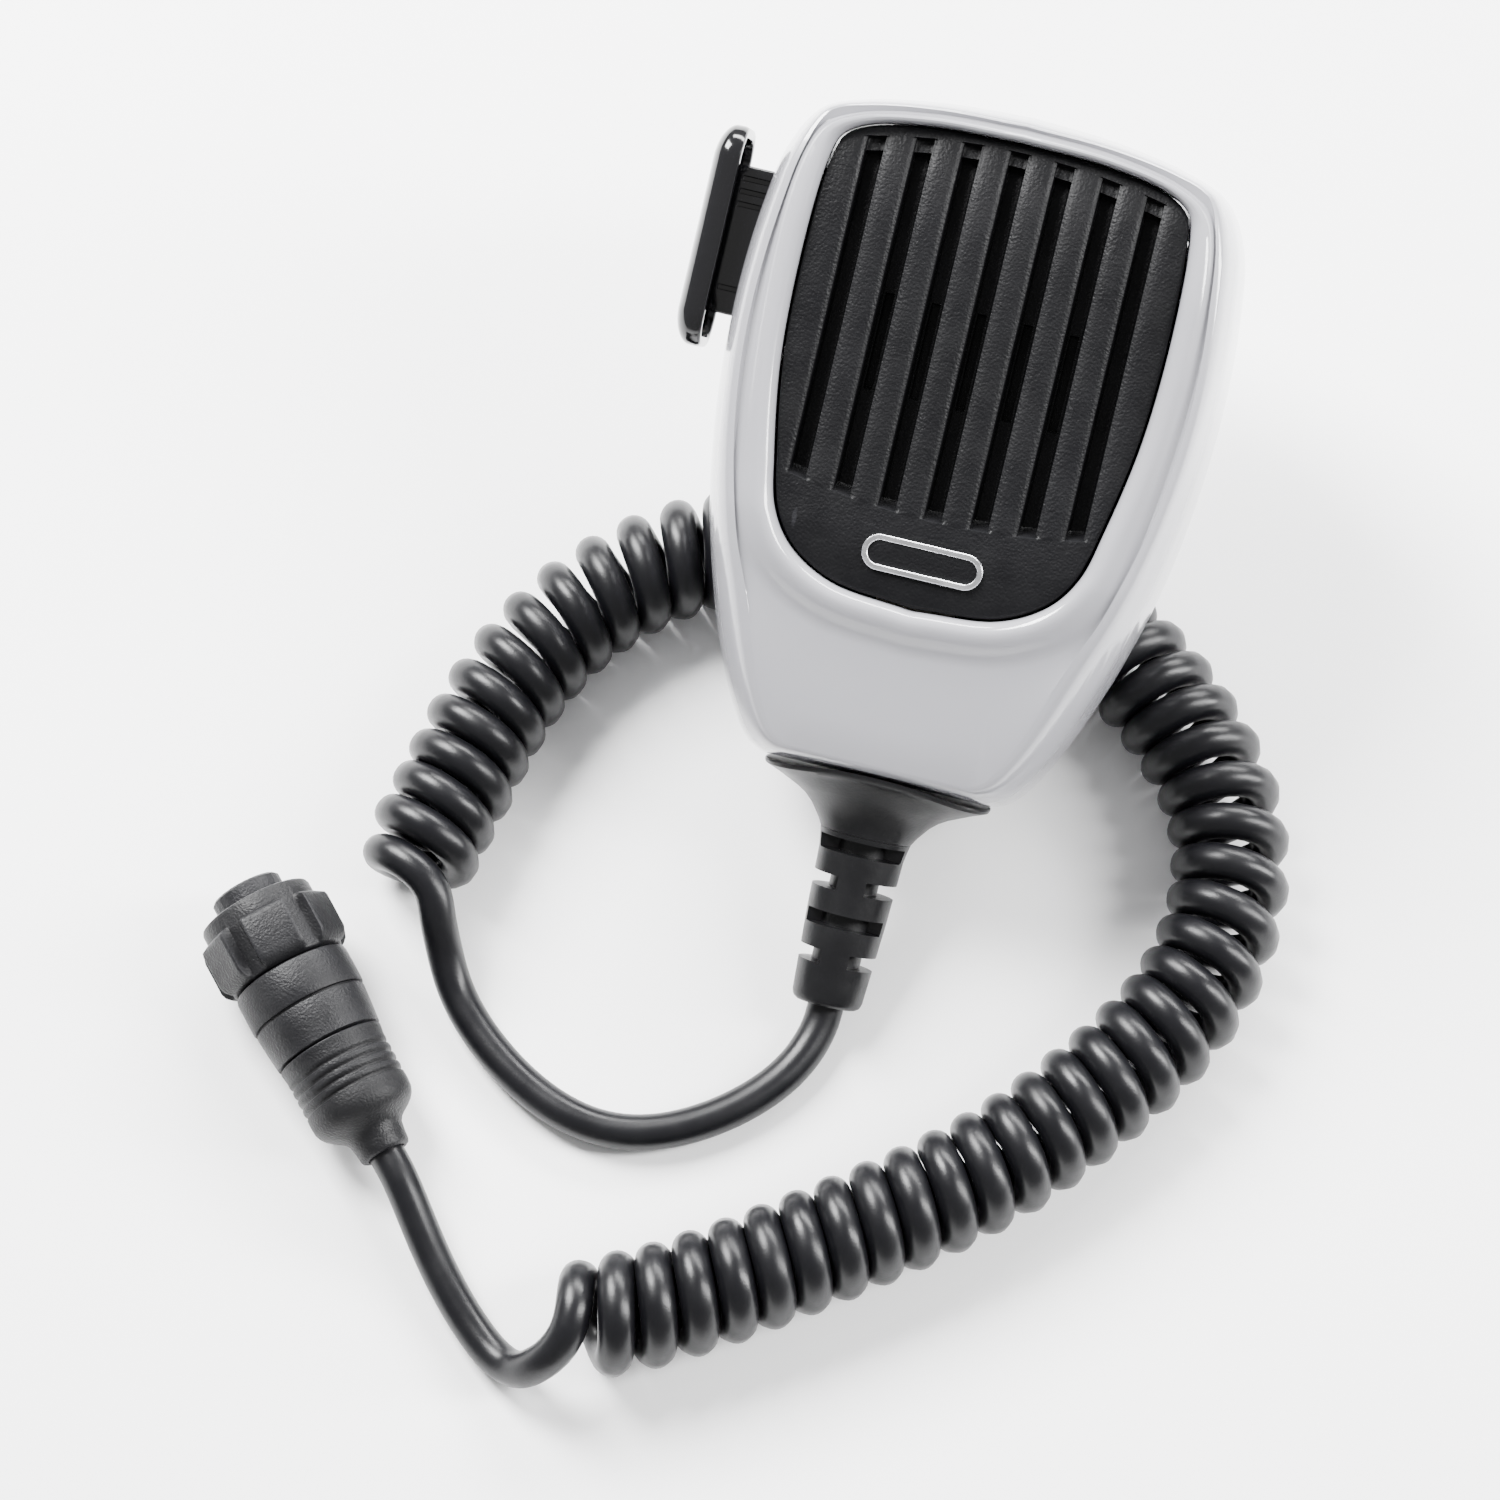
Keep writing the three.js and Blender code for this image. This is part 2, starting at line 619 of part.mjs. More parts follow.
function grillePanel() {
  const face = prism(inward(grilleOutline, GAP), 0, 2 * FRONT_HEIGHT);
  const above = () => 2 * FRONT_HEIGHT;
  const toothTop = (y) => grilleFront(y) - TOOTH.depth;
  const grooveFloor = (y) => grilleFront(y) - GROOVE.depth;
  let panel = fuse(face.intersect(grilleLayer(grilleBack, grilleFront)), grilleLip(0));
  for (let i = 0; i < GROOVES; i++) {
    const fromMiddle = i - (GROOVES - 1) / 2;
    const x = fromMiddle * GROOVE.pitch;
    const [low, high] = grooveEnds(x);
    const toothLow = high - TOOTH.length;
    panel = cut(
      panel,
      slab(grooveFloor, above, low, toothLow, x, GROOVE.width),
      slab(toothTop, above, toothLow - 0.1, high, x, GROOVE.width, 2),
    );
    if (Math.abs(fromMiddle) < PORT.reach) {
      const [from, to] = [micY - PORT.length / 2, micY + PORT.length / 2];
      panel = panel.subtract(slab(() => 0, above, from, to, x, PORT.width, 1));
    }
  }
  return panel.subtract(badgeSolid(-GAP, BADGE.sunk + GAP, GAP));
}

// An oval line, laid in the smooth part of the grille. The margin is how far it keeps
// from the edges of the groove that holds it; base and top are from the grille's front.
function badgeSolid(margin, base, top) {
  const { length, height, line } = BADGE;
  const y = grilleLow + BADGE.fromLow;
  const bar = (inset) =>
    roundedRectangle(
      -length / 2 + inset,
      y - height / 2 + inset,
      length / 2 - inset,
      y + height / 2 - inset,
      height / 2 - inset - 0.01,
      6,
    );
  const tall = 2 * FRONT_HEIGHT;
  const ring = cut(prism(bar(margin), 0, tall), prism(bar(line - margin), -1, tall + 1));
  const layer = slab(
    (v) => grilleFront(v) - base,
    (v) => grilleFront(v) + top,
    y - height,
    y + height,
    0,
    length * 2,
    6,
  );
  return ring.intersect(layer);
}

// Felt behind the grille.
function grilleCloth() {
  const half = CLOTH.side / 2;
  const top = (y) => grilleBack(y) - GAP;
  return slab((y) => top(y) - CLOTH.thickness, top, micY - half, micY + half, 0, CLOTH.side);
}

// ---------------------------------------------------------------- inside
const micTop = grilleBack(micY) - CLOTH.thickness - 2 * GAP;
const micBase = micTop - MIC.height;

function micElement() {
  const { radius, hole } = MIC;
  const edge = 0.3;
  const can = lathe([
    [0, micBase],
    [radius - edge, micBase],
    [radius, micBase + edge],
    [radius, micTop - edge],
    [radius - edge, micTop],
    [0, micTop],
  ], 28);
  return placed(cut(can, rod(hole, micTop - 2 * edge, micTop + 1, 12)), [0, micY, 0]);
}

// Rubber cup that stands on the board and holds the capsule.
function micHolder() {
  const inner = MIC.radius + GAP;
  const outer = MIC.radius + MIC.cupWall;
  const lip = micTop - 2 * GAP;
  const bottom = boardTop + GAP;
  const drain = MIC.radius / 2;
  const cup = lathe([
    [drain, bottom],
    [outer, bottom],
    [outer, lip - 0.6],
    [outer - 0.8, lip],
    [inner, lip],
    [inner, micBase - GAP],
    [drain, micBase - GAP],
  ], 28);
  return placed(cup, [0, micY, 0]);
}

function circuitBoard() {
  const outline = roundedRectangle(-boardHalf, BOARD.low, boardHalf, boardHigh, BOARD.corner);
  let board = prism(outline, BOARD.z, boardTop);
  for (const [x, y] of boardScrewPlaces)
    board = board.subtract(placed(rod(BOARD_SCREW.hole, -2, boardTop + 1, 14), [x, y, 0]));
  return board;
}

const switchFace = -(caseHalf - SWITCH.side);
const plungerZ = PADDLE.z + PLUNGER.rise;

function pttSwitch() {
  const { width, length, height } = SWITCH;
  const z0 = boardTop + GAP;
  const body = box(
    [switchFace, paddleY - length / 2, z0],
    [switchFace + width, paddleY + length / 2, z0 + height],
  );
  const bore = rod(PLUNGER.bore, -1, PLUNGER.boreDepth, 16);
  return body.subtract(placed(bore, [switchFace, paddleY, plungerZ], [0, Math.PI / 2, 0]));
}

// One of two light springs between the stem of the paddle and the switch.
function pttSpring(side) {
  const { radius, wire, turns, offset, sides, steps } = SPRING;
  const from = stemEnd + GAP + wire;
  const to = switchFace - GAP - wire;
  const points = Array.from({ length: steps + 1 }, (_, i) => {
    const angle = (2 * Math.PI * turns * i) / steps;
    return [
      from + ((to - from) * i) / steps,
      paddleY + side * offset + radius * Math.cos(angle),
      plungerZ + radius * Math.sin(angle),
    ];
  });
  return tube(points, wire, steps, sides);
}

function switchPlunger() {
  const { radius, length } = PLUNGER;
  const edge = 0.4;
  const pin = lathe([[0, 0], [radius - edge, 0], [radius, edge], [radius, length], [0, length]], 16);
  return placed(pin, [stemEnd + GAP, paddleY, plungerZ], [0, Math.PI / 2, 0]);
}

// The cord's end inside the case, from the strain relief to its connector on the board.
const tailRise = boardTop + GAP + CONNECTOR.height / 2;
const TAIL = [
  [0, CHIN_PLUG.lug + GAP, 0.3],
  [0, CLAMP.y + CLAMP.length + 0.2, 0.3],
  [0, CONNECTOR.y - 5.3, 3.0],
  [0, CONNECTOR.y - 3.1, 5.4],
  [0, CONNECTOR.y - 0.5, tailRise - 0.1],
];

function wireConnector() {
  const { y, length, half, height, wall, socket } = CONNECTOR;
  const z0 = boardTop + GAP;
  const y1 = y + length;
  return cut(
    box([-half, y, z0], [half, y1, z0 + height]),
    box([-half + wall, y1 - socket, z0 + wall], [half - wall, y1 + 1, z0 + height - wall]),
  );
}

// Strap that holds the cord down in the case, with a foot on each side.
function cordClamp() {
  const { y, length, rise, thickness } = CLAMP;
  const y1 = y + length;
  const inner = CORD_RADIUS + 0.5;
  const top = CORD_RADIUS + rise;
  const foot = thickness / 2;
  let strap = cut(
    fuse(
      box([-clampHalf, y, -foot], [clampHalf, y1, foot]),
      box([-inner - thickness, y, -foot], [inner + thickness, y1, top]),
    ),
    box([-inner, y - 1, -5], [inner, y1 + 1, top - thickness + 0.3]),
  );
  for (const [px, py] of clampScrewPlaces)
    strap = strap.subtract(placed(rod(CLAMP_SCREW.hole, -3, 3, 12), [px, py, 0]));
  return strap;
}

// ---------------------------------------------------------------- the paddle
// A loop of the paddle's outline in y and z, at x.
const paddleLoop = (inset, x) =>
  roundedRectangle(
    paddleY - PADDLE.length / 2 + inset,
    PADDLE.z - PADDLE.depth / 2 + inset,
    paddleY + PADDLE.length / 2 - inset,
    PADDLE.z + PADDLE.depth / 2 - inset,
    PADDLE.depth / 2 - inset - 0.3,
    8,
  ).map(([y, z]) => new THREE.Vector3(x, y, z));

function pttPaddle() {
  const { thickness } = PADDLE;
  const inner = paddleFace + thickness;
  const cap = loft([
    paddleLoop(2.6, paddleFace),
    paddleLoop(1.2, paddleFace + 0.25),
    paddleLoop(0.35, paddleFace + 0.9),
    paddleLoop(0, paddleFace + 1.9),
    paddleLoop(0.3, inner),
  ]);
  const pocket = loft([paddleLoop(1.6, inner - 0.9), paddleLoop(1.5, inner + 1)]);
  const stem = box([inner - STEM.root, stemLow, stemBack], [stemEnd, stemHigh, stemFront]);
  const reliefs = [stemLow + 3.2, stemHigh - 3.2].map((y) =>
    box([inner + 0.4, y - 0.5, stemFront - 1], [stemEnd + 3, y + 0.5, stemFront + 1]),
  );
  return cut(fuse(cut(cap, pocket), stem), ...reliefs);
}

// Rubber frame that seals the stem behind the case's side.
function pttSeal() {
  const { grow, thickness, lift } = SEAL;
  const x0 = GAP - hollowHalf(stemHigh + grow, stemFront + grow);
  const frame = box(
    [x0, stemLow - grow, stemBack - grow + lift],
    [x0 + thickness, stemHigh + grow, stemFront + grow],
  );
  const hole = box(
    [x0 - 1, stemLow - GAP, stemBack - GAP],
    [x0 + thickness + 1, stemHigh + GAP, stemFront + GAP],
  );
  return frame.subtract(hole);
}

// ---------------------------------------------------------------- cable entry
// A loop across the cable's axis: half-width, height above and below. Its bow is how far
// its front and back edges reach towards the case, as the case's rounded end does.
const crossLoop = (y, halfWidth, up, down, bow = 0, power = 2, count = 20) =>
  Array.from({ length: count }, (_, i) => {
    const angle = (2 * Math.PI * i) / count;
    const [c, s] = [Math.cos(angle), Math.sin(angle)];
    const x = halfWidth * Math.sign(c) * Math.pow(Math.abs(c), 2 / power);
    const z = (s > 0 ? up : down) * Math.sign(s) * Math.pow(Math.abs(s), 2 / power);
    return new THREE.Vector3(x, y + bow * Math.pow(Math.abs(s), 5), z);
  });

// One slot of the strain relief, round the cord but for two bridges, which are at the sides
// and at the front and back in turn.
function reliefSlot(i) {
  const half = SLOT.width / 2;
  const wide = 2 * RELIEF_TOP_RADIUS;
  const bridge = SLOT.bridge / 2;
  const core = CORD_RADIUS + RELIEF_CORE_WALL;
  const ring = lathe([[core, -half], [wide, -half], [wide, half], [core, half]], 20);
  const [x, y] = i % 2 ? [bridge, 2 * wide] : [2 * wide, bridge];
  const slot = ring.subtract(box([-x, -y, -wide], [x, y, wide]));
  const along = -BOOT_LENGTH - SLOT.fromBoot - i * SLOT.step;
  return placed(slot, [0, along, 0], [Math.PI / 2, 0, 0]);
}

const roundLoop = (y, radius) => crossLoop(y, radius, radius, radius);

function strainRelief() {
  const half = CHIN_WIDTH / 2 - 0.4;
  const up = frontHeight(0) - 0.9;
  const down = REAR_DEPTH - 0.6;
  const flare = [
    crossLoop(-GAP - 0.05, half, up, down, 1.2, 2.5),
    crossLoop(-1.2, half - 0.4, up - 0.7, down - 0.4, 1.1, 2.5),
    crossLoop(-2.3, half * 0.78, up * 0.8, down * 0.85, 0.8, 2.2),
    crossLoop(-3.7, half * 0.6, up * 0.65, down * 0.74, 0.3),
    crossLoop(-5.5, half * 0.48, RELIEF_TOP_RADIUS + 0.8, RELIEF_TOP_RADIUS + 0.7),
    roundLoop(-BOOT_LENGTH, RELIEF_TOP_RADIUS + 0.4),
  ];
  const rounds = [
    [-BOOT_LENGTH - 2, RELIEF_TOP_RADIUS],
    [RELIEF_TIP * 0.6, RELIEF_TOP_RADIUS - 0.3],
    [RELIEF_TIP + 1, RELIEF_TIP_RADIUS + 0.1],
    [RELIEF_TIP + 0.3, RELIEF_TIP_RADIUS - 0.1],
    [RELIEF_TIP, RELIEF_TIP_RADIUS - 0.5],
  ].map(([y, r]) => roundLoop(y, r));
  let relief = loft([...flare, ...rounds]);
  for (let i = 0; i < RELIEF_SLOTS; i++) relief = relief.subtract(reliefSlot(i));
  return relief.add(chinPlug(GAP, CHIN_PLUG.low / 2, CHIN_PLUG.lug));
}

// ---------------------------------------------------------------- cord
// The cord's route, on the plane that the microphone lies on. Chosen by hand.
const LEAD_MIC = [
  [1.4, -61.6, 2.35],
  [-2.6, -67.2, 2.35],
  [-9.2, -72.6, 2.35],
  [-16.2, -75.8, 2.35],
  [-23.2, -76.0, 2.35],
  [-30.0, -73.3, 2.35],
  [-36.4, -68.7, 2.35],
  [-42.2, -62.6, 2.35],
  [-46.8, -56.7, 2.6],
  [-48.9, -53.7, 3.3],
];
const COIL = [
  [-50.9, -52.0],
  [-50.4, -46.0],
  [-49.1, -37.4],
  [-47.6, -29.0],
  [-44.8, -20.0],
  [-39.9, -11.0],
  [-33.0, -3.6],
  [-26.3, 0.9],
  [-17.0, 4.9],
  [-7.0, 6.6],
  [3.1, 7.0],
  [13.0, 6.5],
  [22.4, 4.4],
  [31.6, -1.4],
  [39.4, -8.2],
  [45.3, -15.8],
  [48.4, -24.6],
  [48.7, -34.0],
  [46.5, -43.2],
  [42.0, -51.8],
  [36.0, -60.4],
  [29.6, -68.1],
  [22.4, -74.9],
  [14.9, -80.9],
  [7.4, -86.6],
  [-0.4, -92.2],
  [-8.6, -97.3],
  [-17.2, -101.4],
];
const LEAD_PLUG = [
  [-17.4, -105.6, 2.4],
  [-19.8, -108.0, 2.35],
  [-23.4, -107.8, 2.35],
  [-28.8, -104.4, 2.4],
  [-34.6, -99.2, 2.9],
  [-39.6, -93.6, 4.2],
];

// A plain tube along points; ends stay square to the route.
function tube(points, radius, steps, sides) {
  const knots = points.map((p) => new THREE.Vector3(...p));
  const path = new THREE.CatmullRomCurve3(knots, false, "centripetal");
  const ring = Array.from({ length: sides }, (_, i) => {
    const angle = (2 * Math.PI * i) / sides;
    return new THREE.Vector2(radius * Math.cos(angle), radius * Math.sin(angle));
  });
  const geometry = new THREE.ExtrudeGeometry(new THREE.Shape(ring), { steps, extrudePath: path });
  return solid(geometry);
}

// ---------------------------------------------------------------- plug
// The plug lies along +z in its own frame, from where the cord enters it to its nose.
function plugBoot() {
  const ribs = [8.2, 9.5, 10.8, 12.1].flatMap((z) => [
    [6.4, z],
    [6.65, z + 0.5],
  ]);
  return lathe([
    [0, 0],
    [CORD_RADIUS + 0.6, 0],
    [CORD_RADIUS + 1, 0.5],
    [CORD_RADIUS + 1.3, 2.8],
    [4.6, 3.9],
    [6.2, 5.0],
    [6.75, 6.2],
    [6.75, 7.4],
    ...ribs,
    [6.7, 13.4],
    [6.9, PLUG.boot],
    [0, PLUG.boot],
  ]);
}

function plugShell() {
  const z = PLUG.boot + GAP;
  return lathe([
    [0, z],
    [7.0, z],
    [7.45, 20.2],
    [7.2, 20.45],
    [7.2, 20.7],
    [PLUG.shoulder, 20.9],
    [PLUG.shoulder, PLUG.shellEnd - 0.6],
    [PLUG.shoulder - 0.5, PLUG.shellEnd - 0.1],
    [PLUG.spigot, PLUG.shellEnd - 0.1],
    [PLUG.spigot, PLUG.ringEnd - PLUG.ringWeb - GAP],
    [0, PLUG.ringEnd - PLUG.ringWeb - GAP],
  ]);
}

// One flat grip of the coupling ring, from z, towards +x.
function ringGrip(z) {
  const { lobe, lobeHalf, ringBase } = PLUG;
  const root = ringBase - 0.6;
  // Each loop is [x, half width at the root, half width at x, height above z].
  const loops = [
    [lobe - 0.5, lobeHalf + 0.5, lobeHalf + 0.2, 0],
    [lobe, lobeHalf + 0.5, lobeHalf, 0.4],
    [lobe, lobeHalf + 0.5, lobeHalf, 6],
    [ringBase - 0.2, lobeHalf - 0.2, lobeHalf - 0.3, 7],
  ].map(([x, rootHalf, half, up]) => [
    new THREE.Vector3(root, -rootHalf, z + up),
    new THREE.Vector3(x, -half, z + up),
    new THREE.Vector3(x, half, z + up),
    new THREE.Vector3(root, rootHalf, z + up),
  ]);
  return loft(loops);
}

// Ring that locks the plug: flat grips around a shouldered sleeve.
function couplingRing() {
  const { spigot, ringBase, ringEnd, ringWeb, nose, lobes } = PLUG;
  const z = PLUG.shellEnd + GAP - 0.1;
  let ring = lathe([
    [spigot + GAP, z],
    [ringBase - 0.2, z],
    [ringBase, z + 0.4],
    [ringBase, ringEnd - 2.2],
    [ringBase - 0.6, ringEnd - 1.2],
    [nose + 1.6, ringEnd],
    [nose + GAP, ringEnd],
    [nose + GAP, ringEnd - ringWeb],
    [spigot + GAP, ringEnd - ringWeb],
  ], 30);
  for (let i = 0; i < lobes; i++)
    ring = ring.add(placed(ringGrip(z), [0, 0, 0], [0, 0, (2 * Math.PI * i) / lobes]));
  return ring;
}

const pinPlace = (i) => {
  const angle = (2 * Math.PI * i) / PIN.count;
  return [PIN.circle * Math.cos(angle), PIN.circle * Math.sin(angle)];
};

function plugInsert() {
  const z = PLUG.ringEnd - PLUG.ringWeb;
  const edge = 0.3;
  let insert = lathe([
    [0, z],
    [PLUG.nose, z],
    [PLUG.nose, PLUG.noseEnd - edge],
    [PLUG.nose - edge, PLUG.noseEnd],
    [0, PLUG.noseEnd],
  ], 28);
  for (let i = 0; i < PIN.count; i++) {
    const hole = rod(PIN.socket, PLUG.noseEnd - PIN.depth, PLUG.noseEnd + 1, 10);
    insert = insert.subtract(placed(hole, [...pinPlace(i), 0]));
  }
  return insert;
}

function plugPin(i) {
  const pin = rod(PIN.radius, PLUG.noseEnd - PIN.depth + GAP, PLUG.noseEnd - PIN.sunk, 8);
  return placed(pin, [...pinPlace(i), 0]);
}

// ---------------------------------------------------------------- assembly
const part = new THREE.Group();
const microphone = new THREE.Group();
const plug = new THREE.Group();
const cord = new THREE.Group();
part.add(microphone, plug, cord);

function add(group, name, look, body) {
  const mesh = new THREE.Mesh(geometryOf(body), new THREE.MeshStandardMaterial(LOOKS[look]));
  mesh.name = name;
  group.add(mesh);
  return mesh;
}

add(microphone, "front_shell", "case", frontShell());
add(microphone, "rear_cover", "case", rearCover());
add(microphone, "grille_panel", "grille", grillePanel());
add(microphone, "grille_badge", "silver", badgeSolid(0, BADGE.sunk, BADGE.proud));
add(microphone, "grille_cloth", "cloth", grilleCloth());
add(microphone, "mic_element", "silver", micElement());
add(microphone, "mic_element_holder", "rubber", micHolder());
add(microphone, "circuit_board", "board", circuitBoard());
add(microphone, "ptt_switch", "plug", pttSwitch());
add(microphone, "ptt_switch_plunger", "nylon", switchPlunger());
add(microphone, "ptt_spring_1", "steel", pttSpring(-1));
add(microphone, "ptt_spring_2", "steel", pttSpring(1));
add(microphone, "ptt_paddle", "paddle", pttPaddle());
add(microphone, "ptt_seal", "rubber", pttSeal());
add(microphone, "strain_relief", "rubber", strainRelief());
add(microphone, "hanger_button", "steel", hangerButton());
add(microphone, "hanger_screw", "steel", hangerScrew());
caseScrewPlaces.forEach(([x, y], i) => {
  const body = screw(SCREW.tip - SCREW.seat, SCREW.head, SCREW.radius);
  add(microphone, `case_screw_${i + 1}`, "steel", placed(body, [x, y, SCREW.seat - GAP]));
});

// Small screws go in from the front, head up.
function addSmallScrews(name, { length, head, radius }, places, seat) {
  places.forEach(([x, y], i) => {
    const body = placed(screw(length, head, radius), [x, y, seat + GAP], [Math.PI, 0, 0]);
    add(microphone, `${name}_${i + 1}`, "steel", body);
  });
}
addSmallScrews("board_screw", BOARD_SCREW, boardScrewPlaces, boardTop);
addSmallScrews("clamp_screw", CLAMP_SCREW, clampScrewPlaces, CLAMP.thickness / 2);
add(microphone, "cord_clamp", "steel", cordClamp());
add(microphone, "cord_tail", "cord", tube(TAIL, CORD_RADIUS - 0.2, 10, 10));
add(microphone, "wire_connector", "nylon", wireConnector());

// The microphone leans on the tip of its strain relief, over the origin.
microphone.rotation.x = TILT;
microphone.updateMatrixWorld(true);
const lean = new THREE.Box3().setFromObject(microphone, true);
microphone.position.set(
  -(lean.min.x + lean.max.x) / 2,
  -(lean.min.y + lean.max.y) / 2,
  -lean.min.z,
);
microphone.updateMatrixWorld(true);

add(plug, "plug_boot", "plug", plugBoot());
add(plug, "plug_shell", "plug", plugShell());
add(plug, "coupling_ring", "plug", couplingRing());
add(plug, "plug_insert", "plug", plugInsert());
for (let i = 0; i < PIN.count; i++) add(plug, `plug_pin_${i + 1}`, "brass", plugPin(i));

// The plug lies on its boot and on the corner of its ring.
plug.rotation.set(0, Math.PI / 2 - PLUG_TILT, PLUG_HEADING, "ZYX");
plug.position.set(...PLUG_AT, 0);
plug.updateMatrixWorld(true);
plug.position.z = -new THREE.Box3().setFromObject(plug, true).min.z;
plug.updateMatrixWorld(true);

// A point in a group's own frame, as the cord's route needs it.
const pointOf = (group, x, y, z) =>
  new THREE.Vector3(x, y, z).applyMatrix4(group.matrixWorld).toArray();

const fromRelief = [
  pointOf(microphone, 0, RELIEF_TIP - GAP, 0),
  pointOf(microphone, 0, RELIEF_TIP - 3, 0.35),
];
const intoPlug = [pointOf(plug, 0, 0, -4), pointOf(plug, 0, 0, -GAP)];
const coilRoute = COIL.map(([x, y]) => [x, y, COIL_RADIUS]);
const leadSides = 10;

const leadMic = tube([...fromRelief, ...LEAD_MIC], CORD_RADIUS, 26, leadSides);
add(cord, "cord_lead_mic", "cord", leadMic);
add(cord, "cord_coil", "cord", tube(coilRoute, COIL_RADIUS, 36, 12));
const leadPlug = tube([...LEAD_PLUG, ...intoPlug], CORD_RADIUS, 16, leadSides);
add(cord, "cord_lead_plug", "cord", leadPlug);

export default part;
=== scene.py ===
# Looks of a hand microphone with its curly cord and plug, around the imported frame.
# Shapes of the microphone are made in its case frame, in millimetres: x across, y towards
# its top end, z out of the grille. The plug's shapes are made along its own axis.
import json

import bmesh
import bpy
import numpy as np
from mathutils import Matrix, Vector


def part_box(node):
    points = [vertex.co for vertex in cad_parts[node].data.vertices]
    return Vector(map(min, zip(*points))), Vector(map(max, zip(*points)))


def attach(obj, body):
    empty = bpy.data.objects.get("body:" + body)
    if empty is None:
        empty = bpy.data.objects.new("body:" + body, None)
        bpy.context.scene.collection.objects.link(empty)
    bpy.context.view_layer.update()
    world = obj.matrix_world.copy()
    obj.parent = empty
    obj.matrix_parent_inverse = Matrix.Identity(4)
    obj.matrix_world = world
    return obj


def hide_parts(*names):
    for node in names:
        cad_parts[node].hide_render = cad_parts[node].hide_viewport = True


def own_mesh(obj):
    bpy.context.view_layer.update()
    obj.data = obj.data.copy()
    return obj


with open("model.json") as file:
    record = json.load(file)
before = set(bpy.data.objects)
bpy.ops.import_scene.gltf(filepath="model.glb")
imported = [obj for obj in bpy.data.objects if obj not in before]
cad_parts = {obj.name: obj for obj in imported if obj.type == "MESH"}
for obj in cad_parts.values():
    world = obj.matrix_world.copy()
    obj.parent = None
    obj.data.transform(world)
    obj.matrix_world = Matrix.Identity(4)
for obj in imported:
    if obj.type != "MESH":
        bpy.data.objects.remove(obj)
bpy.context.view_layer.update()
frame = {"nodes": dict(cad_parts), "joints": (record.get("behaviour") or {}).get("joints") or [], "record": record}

MM = 0.001
TAU = 2 * np.pi

# ------------------------------------------------------------------ driving dimensions, mm
TILT = np.radians(24)
CASE_LENGTH, CASE_WIDTH, CHIN_WIDTH = 84.1, 61.9, 29.6
FRONT_HEIGHT, CHIN_DROP, CHIN_SPAN = 17.8, 5.6, 30
TOP_DROP, TOP_SPAN = 2.6, 20
REAR_DEPTH, REAR_SLOPE = 9.5, 0.085
WALL, JOINT_GAP = 2.1, 0.3
LOW_END, HIGH_END = 0.35, 0.5  # the case's ends are steeper than its sides by these shares
ROUNDING = 7.0  # how far in from the side the front face is flat
GRILLE_TOP_MARGIN, GRILLE_LOW_MARGIN, GRILLE_SIDE_MARGIN = 4.1, 22.4, 8.25
GRILLE_RECESS = 1.0
GROOVES, GROOVE_PITCH, GROOVE_WIDTH, GROOVE_DEPTH = 7, 5.76, 2.25, 2.9
TOOTH_LENGTH, TOOTH_DEPTH = 1.9, 1.2
BADGE_LENGTH, BADGE_HEIGHT, BADGE_LINE, BADGE_Y = 15, 4.4, 0.7, 28.2
PADDLE_LENGTH, PADDLE_DEPTH, PADDLE_Y, PADDLE_Z, PADDLE_REACH = 27.7, 14, 61.1, 5.3, 6.3
STEM_LENGTH, STEM_DEPTH, STEM_INSIDE = 18.4, 6.6, 9.45
BOOT_LENGTH, RELIEF_TIP = 7.2, -29
RELIEF_SLOTS, SLOT_WIDTH, SLOT_BRIDGE, SLOT_FROM_BOOT, SLOT_STEP = 4, 1.6, 3.3, 1.6, 4.7
RELIEF_CORE = 3.1
CORD_RADIUS, COIL_RADIUS = 2.3, 7.6
BUTTON_Y = 53
SCREW_PLACES = [(-18.95, 73.5), (18.95, 73.5), (-15.4, 13.5), (15.4, 13.5)]
SCREW_SEAT, SCREW_HEAD = -5.2, 2.6
RING_AT = 30.0  # the coupling ring's joint, along the plug from the cord's entry

# ------------------------------------------------------------------ frames
# The circuit board's box gives the case frame's origin: its low edge is BOARD_LOW along y,
# and its faces are BOARD_BACK and BOARD_FRONT along z.
BOARD_LOW, BOARD_BACK, BOARD_FRONT = 17.5, 1.2, 2.7
shell_low, shell_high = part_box("front_shell")
board_low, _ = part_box("circuit_board")
cos_tilt, sin_tilt = np.cos(TILT), np.sin(TILT)
case_origin = Vector((
    (shell_low[0] + shell_high[0]) / 2,
    board_low[1] - MM * (BOARD_LOW * cos_tilt - BOARD_FRONT * sin_tilt),
    board_low[2] - MM * (BOARD_LOW * sin_tilt + BOARD_BACK * cos_tilt),
))
CASE = Matrix.Translation(case_origin) @ Matrix.Rotation(TILT, 4, "X") @ Matrix.Scale(MM, 4)

ring_joint = next(j for j in frame["joints"] if j["name"] == "ring_turn")
plug_axis = Vector(ring_joint["axis"]).normalized()
plug_entry = Vector(ring_joint["pos_m"]) - plug_axis * RING_AT * MM
level = Vector((0, 0, 1)).cross(plug_axis).normalized()
upright = plug_axis.cross(level)
PLUG = (
    Matrix.Translation(plug_entry)
    @ Matrix((-upright, level, plug_axis)).transposed().to_4x4()
    @ Matrix.Scale(MM, 4)
)


def in_row(place, x, y, z):
    """A point of the case frame or of the plug's frame, in the row frame and in metres."""
    return place @ Vector((x, y, z))


